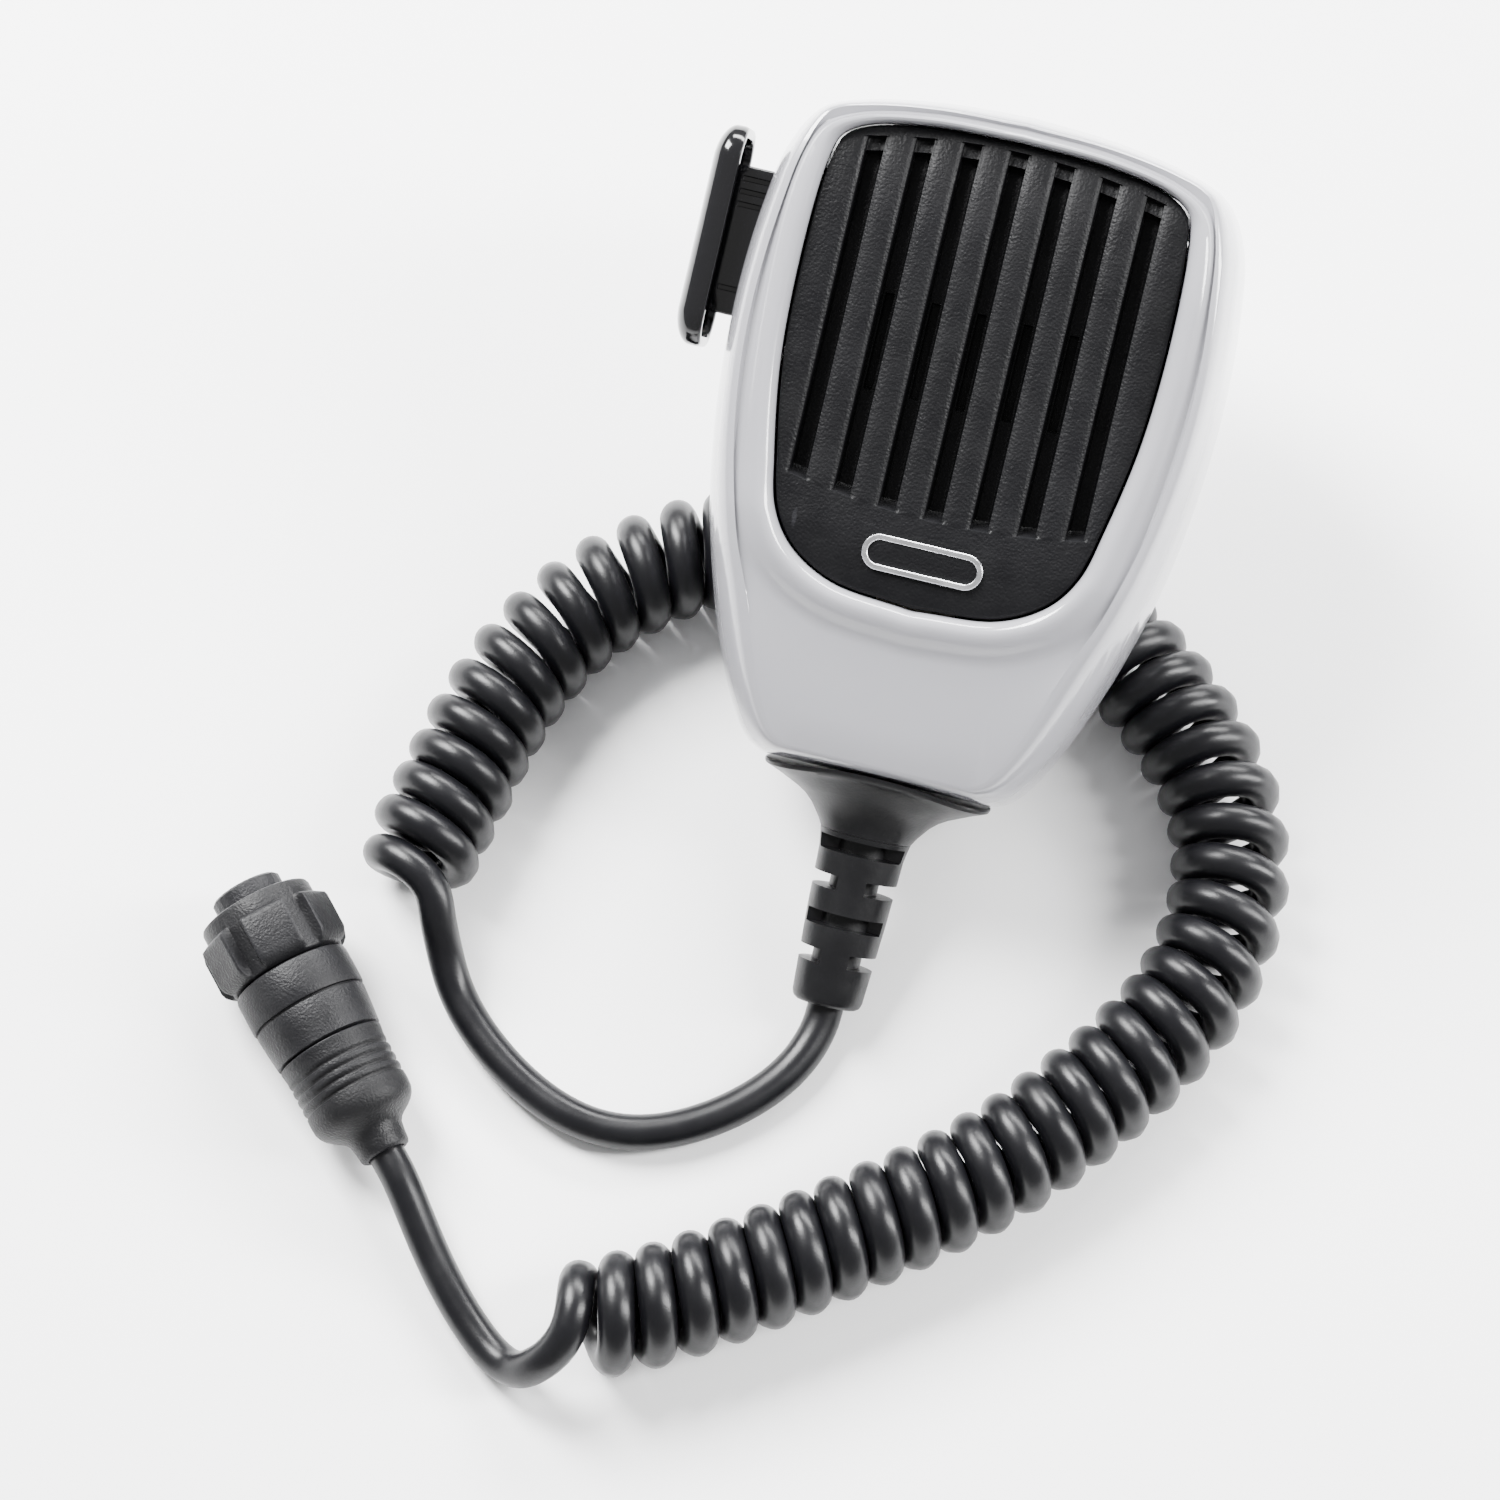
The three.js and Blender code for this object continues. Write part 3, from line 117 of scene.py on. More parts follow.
# ------------------------------------------------------------------ camera
# High over the cable end, a little from its right.
VIEW_AZIMUTH, VIEW_ELEVATION = np.radians(14.5), np.radians(70)
LENS, SENSOR = 120, 36
LOOKED_AT = in_row(CASE, 0, 0, 0)
LOOKED_AT_OFFSET = (16.125, -3.625)  # mm right of and above the view's middle
DISTANCE = 625
toward = Vector((
    np.sin(VIEW_AZIMUTH) * np.cos(VIEW_ELEVATION),
    -np.cos(VIEW_AZIMUTH) * np.cos(VIEW_ELEVATION),
    np.sin(VIEW_ELEVATION),
))
right = Vector((np.cos(VIEW_AZIMUTH), np.sin(VIEW_AZIMUTH), 0))
above = toward.cross(right)
camera_data = bpy.data.cameras.new("camera")
camera_data.lens = LENS
camera_data.sensor_width = SENSOR
camera_data.clip_start = 0.01
camera = bpy.data.objects.new("camera", camera_data)
bpy.context.collection.objects.link(camera)
camera.matrix_world = Matrix((right, above, toward)).transposed().to_4x4()
camera.location = LOOKED_AT + MM * (
    toward * DISTANCE - right * LOOKED_AT_OFFSET[0] - above * LOOKED_AT_OFFSET[1]
)
bpy.context.scene.camera = camera

# ------------------------------------------------------------------ cord
# Points of the leads and of the coil's middle line, in metres. The first
# lead rises beside the coil before its first turn.
LEAD_MIC = [
    (0.0014, -0.0616, 0.00235), (-0.0026, -0.0672, 0.00235), (-0.0092, -0.0726, 0.00235),
    (-0.0162, -0.0758, 0.00235), (-0.0232, -0.0760, 0.00235), (-0.0300, -0.0733, 0.00235),
    (-0.0368, -0.0687, 0.00240), (-0.0413, -0.0643, 0.00260), (-0.0436, -0.0610, 0.00400),
    (-0.0451, -0.0581, 0.00640), (-0.0464, -0.0558, 0.00920),
]
COIL = [
    (-0.0516, -0.0538), (-0.0508, -0.0463), (-0.0491, -0.0374), (-0.0476, -0.0290),
    (-0.0448, -0.0200), (-0.0399, -0.0110), (-0.0330, -0.0036), (-0.0263, 0.0009),
    (-0.0170, 0.0049), (-0.0070, 0.0066), (0.0031, 0.0070), (0.0130, 0.0065),
    (0.0224, 0.0044), (0.0316, -0.0014), (0.0394, -0.0082), (0.0453, -0.0158),
    (0.0484, -0.0246), (0.0487, -0.0340), (0.0465, -0.0432), (0.0420, -0.0518),
    (0.0360, -0.0604), (0.0296, -0.0681), (0.0224, -0.0749), (0.0149, -0.0809),
    (0.0074, -0.0866), (-0.0004, -0.0922), (-0.0086, -0.0973), (-0.0172, -0.1012),
    (-0.0198, -0.1021),
]
LEAD_PLUG = [
    (-0.0210, -0.1081, 0.0056), (-0.0228, -0.1080, 0.0034), (-0.0254, -0.1068, 0.0024),
    (-0.0290, -0.1041, 0.0024),
    (-0.0342, -0.0989, 0.0030), (-0.0389, -0.0927, 0.0044),
]
COIL_END_ROOM = 0.0028  # keeps the first and last turns inside the coil's length
FIRST_TURN_AT, LAST_TURN_AT = 132, 20  # degrees around the coil; 90 is its top
POINTS_PER_TURN = 20
TURN_SPACING = 1.035  # between turns on the inside of bends, in cord thicknesses
SHARPEST_BEND = 60  # per metre; the coil's bend is counted up to this
LINE_STEPS, BEND_WINDOW = 3000, 201  # steps along the coil, and how many its bend is averaged over


def smooth_route(points, per_span):
    """Points on a centripetal Catmull-Rom curve through the given ones."""
    p = np.array(points, float)
    p = np.vstack([2 * p[0] - p[1], p, 2 * p[-1] - p[-2]])
    route = []
    for i in range(1, len(p) - 2):
        a, b, c, d = p[i - 1:i + 3]
        t0 = 0.0
        t1 = t0 + np.linalg.norm(b - a) ** 0.5
        t2 = t1 + np.linalg.norm(c - b) ** 0.5
        t3 = t2 + np.linalg.norm(d - c) ** 0.5
        for t in np.linspace(t1, t2, per_span, endpoint=False):
            ab = (t1 - t) / (t1 - t0) * a + (t - t0) / (t1 - t0) * b
            bc = (t2 - t) / (t2 - t1) * b + (t - t1) / (t2 - t1) * c
            cd = (t3 - t) / (t3 - t2) * c + (t - t2) / (t3 - t2) * d
            abc = (t2 - t) / (t2 - t0) * ab + (t - t0) / (t2 - t0) * bc
            bcd = (t3 - t) / (t3 - t1) * bc + (t - t1) / (t3 - t1) * cd
            route.append((t2 - t) / (t2 - t1) * abc + (t - t1) / (t2 - t1) * bcd)
    route.append(p[-2])
    return np.array(route)


def curly_route():
    """The helix around the coil's middle line, its turns closest on the inside of bends."""
    middle = smooth_route(COIL, 30)
    steps = np.linalg.norm(np.diff(middle, axis=0), axis=1)
    along = np.concatenate([[0], np.cumsum(steps)])
    length = along[-1]
    at = np.linspace(0, length, LINE_STEPS)
    x, y = np.interp(at, along, middle[:, 0]), np.interp(at, along, middle[:, 1])
    smooth = np.ones(BEND_WINDOW) / BEND_WINDOW
    tx, ty = np.gradient(x, at), np.gradient(y, at)
    bend = np.abs(tx * np.gradient(ty, at) - ty * np.gradient(tx, at))
    bend = np.convolve(np.pad(bend, BEND_WINDOW // 2, mode="edge"), smooth, mode="valid")
    turn_radius = MM * (COIL_RADIUS - CORD_RADIUS)
    bend = np.minimum(bend, SHARPEST_BEND)
    pitch = MM * 2 * CORD_RADIUS * TURN_SPACING / (1 - turn_radius * bend)
    inside = np.clip((at - COIL_END_ROOM) / (length - 2 * COIL_END_ROOM), 0, 1)
    turned = np.concatenate([[0], np.cumsum(np.diff(inside) * length / pitch[1:])])
    extra = (FIRST_TURN_AT - LAST_TURN_AT) / 360
    turns = round(turned[-1] - extra) + extra
    angle = np.radians(FIRST_TURN_AT) - TAU * turns * turned / turned[-1]
    count = int(turns * POINTS_PER_TURN)
    angles = np.linspace(angle[0], angle[-1], count)
    s = np.interp(-angles, -angle, at)
    cx, cy = np.interp(s, at, x), np.interp(s, at, y)
    nx, ny = -np.interp(s, at, ty), np.interp(s, at, tx)
    norm = np.hypot(nx, ny)
    out = turn_radius * np.cos(angles)
    return np.column_stack([
        cx + out * nx / norm,
        cy + out * ny / norm,
        MM * COIL_RADIUS + turn_radius * np.sin(angles),
    ])


lead_from = [in_row(CASE, 0, RELIEF_TIP + 1.5, 0), in_row(CASE, 0, RELIEF_TIP - 3, 0.35)]
lead_to = [in_row(PLUG, 0, 0, -4), in_row(PLUG, 0, 0, 1.0)]
helix = curly_route()
LEAD_STEPS = 6  # points in each span of a lead
OVERLAP = LEAD_STEPS + 1  # points of a lead that lie on the coil
head = smooth_route(
    [tuple(p) for p in lead_from] + LEAD_MIC + [tuple(helix[0]), tuple(helix[3])], LEAD_STEPS
)
tail = smooth_route(
    [tuple(helix[-4]), tuple(helix[-1])] + LEAD_PLUG + [tuple(p) for p in lead_to], LEAD_STEPS
)
route = np.vstack([head[:-OVERLAP], helix, tail[OVERLAP:]])


def eased(points, at, reach, rounds):
    """Points with the bend at one of them spread over its neighbours."""
    points = points.copy()
    i = np.arange(len(points))
    share = np.clip(1 - np.abs(i - at) / reach, 0, 1)[1:-1, None]
    for _ in range(rounds):
        middle = (points[:-2] + points[2:]) / 2
        points[1:-1] += 0.5 * share * (middle - points[1:-1])
    return points


first = len(head) - OVERLAP
last = first + len(helix)
# The joins of the leads with the coil, then the second lead's bow, then both leads' middles.
route = eased(route, first, 10, 20)
route = eased(route, last, 12, 12)
route = eased(route, last + 14, 14, 30)
route = eased(route, first // 2, first // 2 - 2, 60)
route = eased(route, (last + len(route)) // 2, (len(route) - last) // 2 - 4, 60)


def tube(points, radius, sides=24):
    """Loops of a round cord that follows points without twisting."""
    along = np.gradient(points, axis=0)
    along /= np.linalg.norm(along, axis=1)[:, None]
    side = np.cross(along[0], (0, 0, 1))
    a = np.linspace(0, TAU, sides, endpoint=False)[:, None]
    loops = []
    for point, t in zip(points, along):
        side = side - t * side.dot(t)
        side = side / np.linalg.norm(side)
        loops.append(point + radius * (np.cos(a) * side + np.sin(a) * np.cross(t, side)))
    return loops


# ------------------------------------------------------------------ materials
COAT_ROUGHNESS = 0.06
BROAD_NOISE, PATCH_NOISE = 55, 210  # features per metre of the colour's and gloss's patches
WORN_FROM, WORN_TO = 0.52, 0.62  # pointiness at which wear starts and is full


def material(name, colour, roughness, metallic=0.0, coat=0.0, specular=0.5):
    """A new material with its constant values set on the shader itself."""
    m = bpy.data.materials.new(name)
    m.use_nodes = True
    shader = m.node_tree.nodes["Principled BSDF"]
    shader.inputs["Base Color"].default_value = (*colour, 1)
    shader.inputs["Roughness"].default_value = roughness
    shader.inputs["Metallic"].default_value = metallic
    shader.inputs["Coat Weight"].default_value = coat
    shader.inputs["Specular IOR Level"].default_value = specular
    shader.inputs["Coat Roughness"].default_value = COAT_ROUGHNESS
    m.diffuse_color = (*colour, 1)
    return m


def node(m, kind, inputs=(), **settings):
    """Add a node, set what is given, and connect or fill its inputs."""
    n = m.node_tree.nodes.new(kind)
    for key, value in settings.items():
        setattr(n, key, value)
    for key, value in dict(inputs).items():
        if isinstance(value, bpy.types.NodeSocket):
            m.node_tree.links.new(value, n.inputs[key])
        else:
            n.inputs[key].default_value = value
    return n


def noise(m, scale, detail=3.0, roughness=0.55, stretch=(1, 1, 1)):
    """Noise over the object's own coordinates; scale is in features per metre."""
    place = node(m, "ShaderNodeTexCoord")
    mapped = node(m, "ShaderNodeMapping", {"Vector": place.outputs["Object"], "Scale": stretch})
    return node(m, "ShaderNodeTexNoise", {
        "Vector": mapped.outputs["Vector"], "Scale": scale,
        "Detail": detail, "Roughness": roughness,
    }).outputs["Fac"]


def ramp(m, value, stops):
    """A colour ramp through (position, colour) stops."""
    n = node(m, "ShaderNodeValToRGB", {"Fac": value})
    ends = n.color_ramp.elements
    for i, (position, colour) in enumerate(stops):
        e = ends[i] if i < 2 else ends.new(position)
        e.position = position
        e.color = (*colour, 1)
    return n.outputs["Color"]


def span(m, value, low, high, start=0.3, end=0.7):
    """Values between start and end as values from low to high."""
    return node(m, "ShaderNodeMapRange", {
        "Value": value, "From Min": start, "From Max": end, "To Min": low, "To Max": high,
    }).outputs["Result"]


def mix(m, share, a, b):
    """Two colours mixed by a share."""
    n = node(m, "ShaderNodeMix", data_type="RGBA")
    m.node_tree.links.new(share, n.inputs["Factor"])
    for key, value in (("A", a), ("B", b)):
        socket = next(s for s in n.inputs if s.name == key and s.type == "RGBA")
        if isinstance(value, bpy.types.NodeSocket):
            m.node_tree.links.new(value, socket)
        else:
            socket.default_value = (*value, 1)
    return next(s for s in n.outputs if s.type == "RGBA")


def moulded(
    name, colour, roughness, spread, grain, depth, *,
    mottle=0.06, wear=0.25, edge=None, metallic=0.0, coat=0.0, specular=0.5, fine=None,
    stretch=(1, 1, 1),
):
    """Moulded or drawn stuff: mottled colour, uneven gloss, grain, and worn edges."""
    m = material(name, colour, roughness, metallic, coat, specular)
    shader = m.node_tree.nodes["Principled BSDF"]
    broad = noise(m, BROAD_NOISE, 4, 0.6, stretch)
    dark = tuple(c * (1 - mottle) for c in colour)
    light = tuple(min(1, c * (1 + mottle)) for c in colour)
    body = ramp(m, broad, [(0.35, dark), (0.65, light)])
    point = node(m, "ShaderNodeNewGeometry").outputs["Pointiness"]
    worn = span(m, point, 0.0, wear, WORN_FROM, WORN_TO)
    bright = edge or tuple(min(1, c * 1.5 + 0.01) for c in colour)
    m.node_tree.links.new(mix(m, worn, body, bright), shader.inputs["Base Color"])
    patches = noise(m, PATCH_NOISE, 3, 0.6, stretch)
    m.node_tree.links.new(
        span(m, patches, roughness - spread, roughness + spread), shader.inputs["Roughness"]
    )
    pebbles = noise(m, grain, 2, 0.5, stretch)
    height = pebbles
    if fine:
        cells = node(m, "ShaderNodeTexVoronoi", {
            "Vector": node(m, "ShaderNodeTexCoord").outputs["Object"], "Scale": fine,
        }, feature="SMOOTH_F1")
        height = node(m, "ShaderNodeMath", {
            0: pebbles, 1: cells.outputs["Distance"],
        }, operation="ADD").outputs["Value"]
    bump = node(m, "ShaderNodeBump", {"Height": height, "Strength": 1.0, "Distance": depth})
    m.node_tree.links.new(bump.outputs["Normal"], shader.inputs["Normal"])
    return m


case_stuff = moulded(
    "case_plastic", (0.285, 0.284, 0.305), 0.2, 0.035, 700, 0.000010,
    mottle=0.012, wear=0.12, edge=(0.36, 0.36, 0.38), coat=0.8,
)
grille_stuff = moulded(
    "grille_plastic", (0.003, 0.003, 0.0036), 0.48, 0.08, 3600, 0.00005,
    mottle=0.15, wear=0.4, edge=(0.022, 0.022, 0.025), fine=2900, specular=0.15,
)
paddle_stuff = moulded(
    "paddle_plastic", (0.003, 0.003, 0.0036), 0.13, 0.04, 600, 0.000010,
    mottle=0.1, wear=0.1, coat=0.3, specular=0.4,
)
rubber_stuff = moulded(
    "boot_rubber", (0.0036, 0.0036, 0.0042), 0.38, 0.07, 2600, 0.000018,
    mottle=0.12, wear=0.25, specular=0.28,
)
cord_stuff = moulded(
    "cord_jacket", (0.0032, 0.0032, 0.0042), 0.34, 0.06, 3200, 0.000012,
    mottle=0.1, wear=0.0, specular=0.28,
)
plug_stuff = moulded(
    "plug_plastic", (0.0036, 0.0036, 0.0043), 0.5, 0.1, 4200, 0.00005,
    mottle=0.3, wear=0.4, edge=(0.022, 0.022, 0.025), fine=3300, specular=0.24,
)
silver_stuff = moulded(
    "emblem_metal", (0.62, 0.62, 0.64), 0.28, 0.07, 3000, 0.000012,
    mottle=0.04, metallic=1.0, stretch=(1, 8, 1),
)
steel_stuff = moulded(
    "steel", (0.5, 0.505, 0.52), 0.3, 0.09, 2600, 0.00002, mottle=0.08, metallic=1.0,
)
brass_stuff = moulded(
    "brass", (0.63, 0.43, 0.16), 0.27, 0.08, 2600, 0.000015, mottle=0.1, metallic=1.0,
)
board_stuff = moulded(
    "board_laminate", (0.014, 0.09, 0.04), 0.38, 0.08, 1800, 0.00003, mottle=0.2, wear=0.0,
)
cloth_stuff = moulded(
    "grille_felt", (0.006, 0.006, 0.0065), 0.93, 0.04, 3600, 0.00016, mottle=0.3, wear=0.0,
)
nylon_stuff = moulded(
    "nylon", (0.72, 0.69, 0.6), 0.46, 0.07, 1300, 0.00003, mottle=0.05, wear=0.1,
)
slot_stuff = {
    "case": case_stuff, "grille": grille_stuff, "paddle": paddle_stuff,
    "rubber": rubber_stuff, "cord": cord_stuff, "plug": plug_stuff, "silver": silver_stuff,
    "steel": steel_stuff, "brass": brass_stuff, "board": board_stuff,
    "cloth": cloth_stuff, "nylon": nylon_stuff,
}
node_slots = {part["node"]: part["material_slot"] for part in frame["record"]["subparts"]}
for name, cad in frame["nodes"].items():
    cad.data.materials.clear()
    cad.data.materials.append(slot_stuff[node_slots[name]])


# ------------------------------------------------------------------ meshes
WELD = 1e-7  # metres
CUT_SHARP = 38  # degrees; a cut piece's steeper edges stay sharp


def shaded(data, sharp):
    """Shade a mesh smooth but for edges steeper than the given degrees."""
    data.polygons.foreach_set("use_smooth", [True] * len(data.polygons))
    data.set_sharp_from_angle(angle=np.radians(sharp))


def piece(name, points, faces, place, body, slot, stands_for, sharp=38):
    """A mesh in a local frame as a finished piece that rides on a body."""
    data = bpy.data.meshes.new(name)
    data.from_pydata([place @ Vector(p) for p in points], [], faces)
    bm = bmesh.new()
    bm.from_mesh(data)
    bmesh.ops.remove_doubles(bm, verts=bm.verts, dist=WELD)
    bmesh.ops.recalc_face_normals(bm, faces=bm.faces)
    bm.to_mesh(data)
    bm.free()
    shaded(data, sharp)
    obj = bpy.data.objects.new(name, data)
    bpy.context.collection.objects.link(obj)
    data.materials.append(slot_stuff[slot])
    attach(obj, body)
    if stands_for:
        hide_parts(*stands_for)
    return obj


def skin(loops, closed_ends=(True, True), ring=False):
    """Points and faces through loops of equally many points."""
    count = len(loops[0])
    points = [tuple(p) for loop in loops for p in loop]
    faces = []
    spans = len(loops) if ring else len(loops) - 1
    for k in range(spans):
        a, b = k * count, (k + 1) % len(loops) * count
        for i in range(count):
            j = (i + 1) % count
            faces.append((a + i, a + j, b + j, b + i))
    if not ring and closed_ends[0]:
        faces.append(tuple(range(count)))
    if not ring and closed_ends[1]:
        last = (len(loops) - 1) * count
        faces.append(tuple(last + i for i in reversed(range(count))))
    return points, faces


def joined(*parts):
    """Several (points, faces) as one."""
    points, faces = [], []
    for more_points, more_faces in parts:
        start = len(points)
        points += list(more_points)
        faces += [tuple(start + i for i in f) for f in more_faces]
    return points, faces


def bevelled_box(low, high, radius, steps=3):
    """A box with rounded edges, as points and faces."""
    bm = bmesh.new()
    bmesh.ops.create_cube(bm, size=1)
    size = np.subtract(high, low)
    middle = np.add(high, low) / 2
    for v in bm.verts:
        v.co = Vector(np.array(v.co) * size + middle)
    bmesh.ops.bevel(
        bm, geom=bm.edges[:], offset=radius, segments=steps, affect="EDGES", profile=0.5
    )
    points = [tuple(v.co) for v in bm.verts]
    bm.verts.index_update()
    faces = [tuple(v.index for v in f.verts) for f in bm.faces]
    bm.free()
    return points, faces


def cut_away(obj, cutters):
    """Cut closed shapes, in metres, out of a piece."""
    for points, faces in cutters:
        data = bpy.data.meshes.new("cutter")
        data.from_pydata([Vector(p) for p in points], [], faces)
        bm = bmesh.new()
        bm.from_mesh(data)
        bmesh.ops.recalc_face_normals(bm, faces=bm.faces)
        bm.to_mesh(data)
        bm.free()
        cutter = bpy.data.objects.new("cutter", data)
        bpy.context.collection.objects.link(cutter)
        modifier = obj.modifiers.new("cut", "BOOLEAN")
        modifier.operation = "DIFFERENCE"
        modifier.solver = "EXACT"
        modifier.object = cutter
        depsgraph = bpy.context.evaluated_depsgraph_get()
        result = bpy.data.meshes.new_from_object(obj.evaluated_get(depsgraph))
        obj.modifiers.clear()
        old = obj.data
        obj.data = result
        result.name = old.name + "_cut"
        bpy.data.meshes.remove(old)
        bpy.data.objects.remove(cutter)
        bpy.data.meshes.remove(data)
    shaded(obj.data, CUT_SHARP)


cord = piece(
    "curly_cord", *skin(tube(route, MM * CORD_RADIUS)), Matrix.Identity(4),
    "microphone", "cord", ["cord_lead_mic", "cord_coil", "cord_lead_plug"], 60,
)


# ------------------------------------------------------------------ outlines
case_half = CASE_WIDTH / 2
grille_half = case_half - GRILLE_SIDE_MARGIN
grille_low = GRILLE_LOW_MARGIN
grille_top = CASE_LENGTH - GRILLE_TOP_MARGIN
CASE_SHAPE = [
    (0.555, 0.0155), (0.664, 0.074), (0.828, 0.223), (0.947, 0.402), (1, 0.62),
    (0.978, 0.79), (0.928, 0.884), (0.826, 0.944), (0.66, 0.97), (0.34, 0.992), (0, 1),
]
GRILLE_SHAPE = [
    (0.02, 0), (0.46, 0.02), (0.7, 0.073), (0.825, 0.143), (0.893, 0.25), (0.976, 0.45),
    (1, 0.69), (0.972, 0.885), (0.936, 0.935), (0.815, 0.966), (0.485, 0.992), (0, 1),
]


def whole_outline(half):
    """Half an outline and its mirror image, as one smooth closed line."""
    line = smooth_route([(x, y, 0) for x, y in half], 24)[:, :2]
    mirror = line[-2::-1] * (-1, 1)
    return np.vstack([line, mirror])


case_line = whole_outline(
    [(CHIN_WIDTH / 2, 0)] + [(x * case_half, y * CASE_LENGTH) for x, y in CASE_SHAPE]
)
grille_line = whole_outline([
    (x * grille_half, grille_low + y * (grille_top - grille_low)) for x, y in GRILLE_SHAPE
])
HUB = np.array([0.0, 50.0])  # both outlines are seen whole from here
LOOP_POINTS = 360
hub_angles = np.linspace(0, TAU, LOOP_POINTS, endpoint=False)


def seen_from_hub(line):
    """The outline's points in every direction from the hub."""
    closed = np.vstack([line, line[:1]])
    out = closed - HUB
    angles = np.unwrap(np.arctan2(out[:, 1], out[:, 0]))
    order = np.argsort(angles)
    angles, x, y = angles[order], out[order, 0], out[order, 1]
    at = (hub_angles - angles[0]) % TAU + angles[0]
    return np.column_stack([np.interp(at, angles, x), np.interp(at, angles, y)]) + HUB


case_loop = seen_from_hub(case_line)
grille_loop = seen_from_hub(grille_line)


def drawn_in(side, low, high):
    """The case's outline moved in at its sides and at its two ends."""
    x = case_loop[:, 0] * (1 - side / case_half)
    y = low + case_loop[:, 1] * (1 - (low + high) / CASE_LENGTH)
    return np.column_stack([x, y])


def spread_out(loop, distance, top_share=1.0):
    """A loop moved outwards, less so along its top."""
    along = np.roll(loop, -2, 0) - np.roll(loop, 2, 0)
    along /= np.linalg.norm(along, axis=1)[:, None]
    out = np.column_stack([along[:, 1], -along[:, 0]])
    for _ in range(6):
        out = (np.roll(out, 1, 0) + out + np.roll(out, -1, 0)) / 3
    up = np.where(out[:, 1] > 0, top_share, 1.0)
    return loop + distance * np.column_stack([out[:, 0], out[:, 1] * up])


def front_height(y):
    """The front face's height, lower towards the chin and the top end."""
    y = np.asarray(y, float)
    low = np.clip((CHIN_SPAN - y) / CHIN_SPAN, 0, 1) ** 1.3
    high = np.clip((y - CASE_LENGTH + TOP_SPAN) / TOP_SPAN, 0, 1) ** 2
    return FRONT_HEIGHT - CHIN_DROP * low - TOP_DROP * high


def rear_depth(y):
    """How far the back stands behind the joint of the shells."""
    return REAR_DEPTH + REAR_SLOPE * np.asarray(y, float)


def raised(loop, z):
    """A flat loop at a height."""
    return np.column_stack([loop, np.broadcast_to(z, len(loop))])


FRONT_LEVELS = [
    (0, 0), (0.16, 0.1), (0.42, 0.8), (0.64, 1.7), (0.81, 3.0), (0.93, 4.3), (0.985, 5.6),
    (1, 7.0),
]
REAR_LEVELS = [(0, 0), (0.2, 0.15), (0.5, 0.9), (0.75, 2.4), (0.9, 4.2), (1, 6.6)]


def dense(levels, per_span=5):
    """A rounding's (share of height, inset) pairs, with more between them."""
    line = smooth_route([(share * 10, inset, 0) for share, inset in levels], per_span)
    return [(share / 10, max(0, inset)) for share, inset, _ in line]


def case_loops(levels, depth, side, wall=0.0, start=0.0, fitted=False):
    """Loops of a shell from the joint outwards; wall moves them to its inner face."""
    loops = []
    for share, inset in dense(levels):
        flat = drawn_in(inset + wall, LOW_END * inset + wall, HIGH_END * inset + wall)
        if fitted:
            flat = case_loop + (flat - case_loop) * fit
        z = np.maximum(start, share * depth(flat[:, 1]) - wall * (share > 0.3))
        loops.append(raised(flat, side * z))
    return loops


# Where the case is narrow around the grille, its rounding and the rim's foot share the room.
CREST, FOOT = 2.45, 6.6
TOP_SHARE = 0.4  # the rim's spread along the grille's top, as a share of that elsewhere
margin = np.linalg.norm(case_loop - grille_loop, axis=1)
rounded_loop = drawn_in(ROUNDING, LOW_END * ROUNDING, HIGH_END * ROUNDING)
full_inset = np.linalg.norm(case_loop - rounded_loop, axis=1)
foot_reach = np.linalg.norm(spread_out(grille_loop, FOOT, TOP_SHARE) - grille_loop, axis=1)
crest_reach = foot_reach * CREST / FOOT
fit = (margin - crest_reach - 0.2) / (full_inset + foot_reach - crest_reach)
fit = np.clip(fit, 0.3, 1)
for _ in range(30):
    fit = np.minimum(fit, (np.roll(fit, 1) + fit + np.roll(fit, -1)) / 3)
fit = fit[:, None]


def rim_loop(spread, rise):
    """A loop of the rim around the grille, held within the room beside it."""
    near = spread_out(grille_loop, min(spread, CREST), TOP_SHARE)
    far = spread_out(grille_loop, spread, TOP_SHARE)
    flat = near + (far - near) * fit
    return raised(flat, front_height(flat[:, 1]) + rise)


# ------------------------------------------------------------------ front shell
half_gap = JOINT_GAP / 2
EDGE_CHAMFER = 0.12
outer = case_loops(FRONT_LEVELS, front_height, 1, 0, half_gap, True)
edge_soft = raised(drawn_in(EDGE_CHAMFER, EDGE_CHAMFER, EDGE_CHAMFER), half_gap)
foot = rim_loop(FOOT, -0.5)
face = []
for share in (0.35, 0.7):
    between = outer[-1] * (1 - share) + foot * share
    between[:, 2] = front_height(between[:, 1]) - 0.5 * share
    face.append(between)
rim = [
    rim_loop(6.2, -0.56), rim_loop(5.5, -0.52), rim_loop(4.8, -0.3), rim_loop(4.2, 0.02),
    rim_loop(3.6, 0.36), rim_loop(3.0, 0.64), rim_loop(CREST, 0.82), rim_loop(1.9, 0.86),
    rim_loop(1.4, 0.74), rim_loop(1.0, 0.46), rim_loop(0.7, 0.06), rim_loop(0.48, -0.4),
    rim_loop(0.34, -0.95), rim_loop(0.3, -2.4),
]
inner = case_loops(FRONT_LEVELS[:4], front_height, 1, WALL, half_gap)[::-1]
lining = rim_loop(1.6, -2.4)
points, faces = skin([edge_soft] + outer + face + rim + [lining] + inner, ring=True)
front = piece("case_front", points, faces, CASE, "microphone", "case", ["front_shell"], 50)

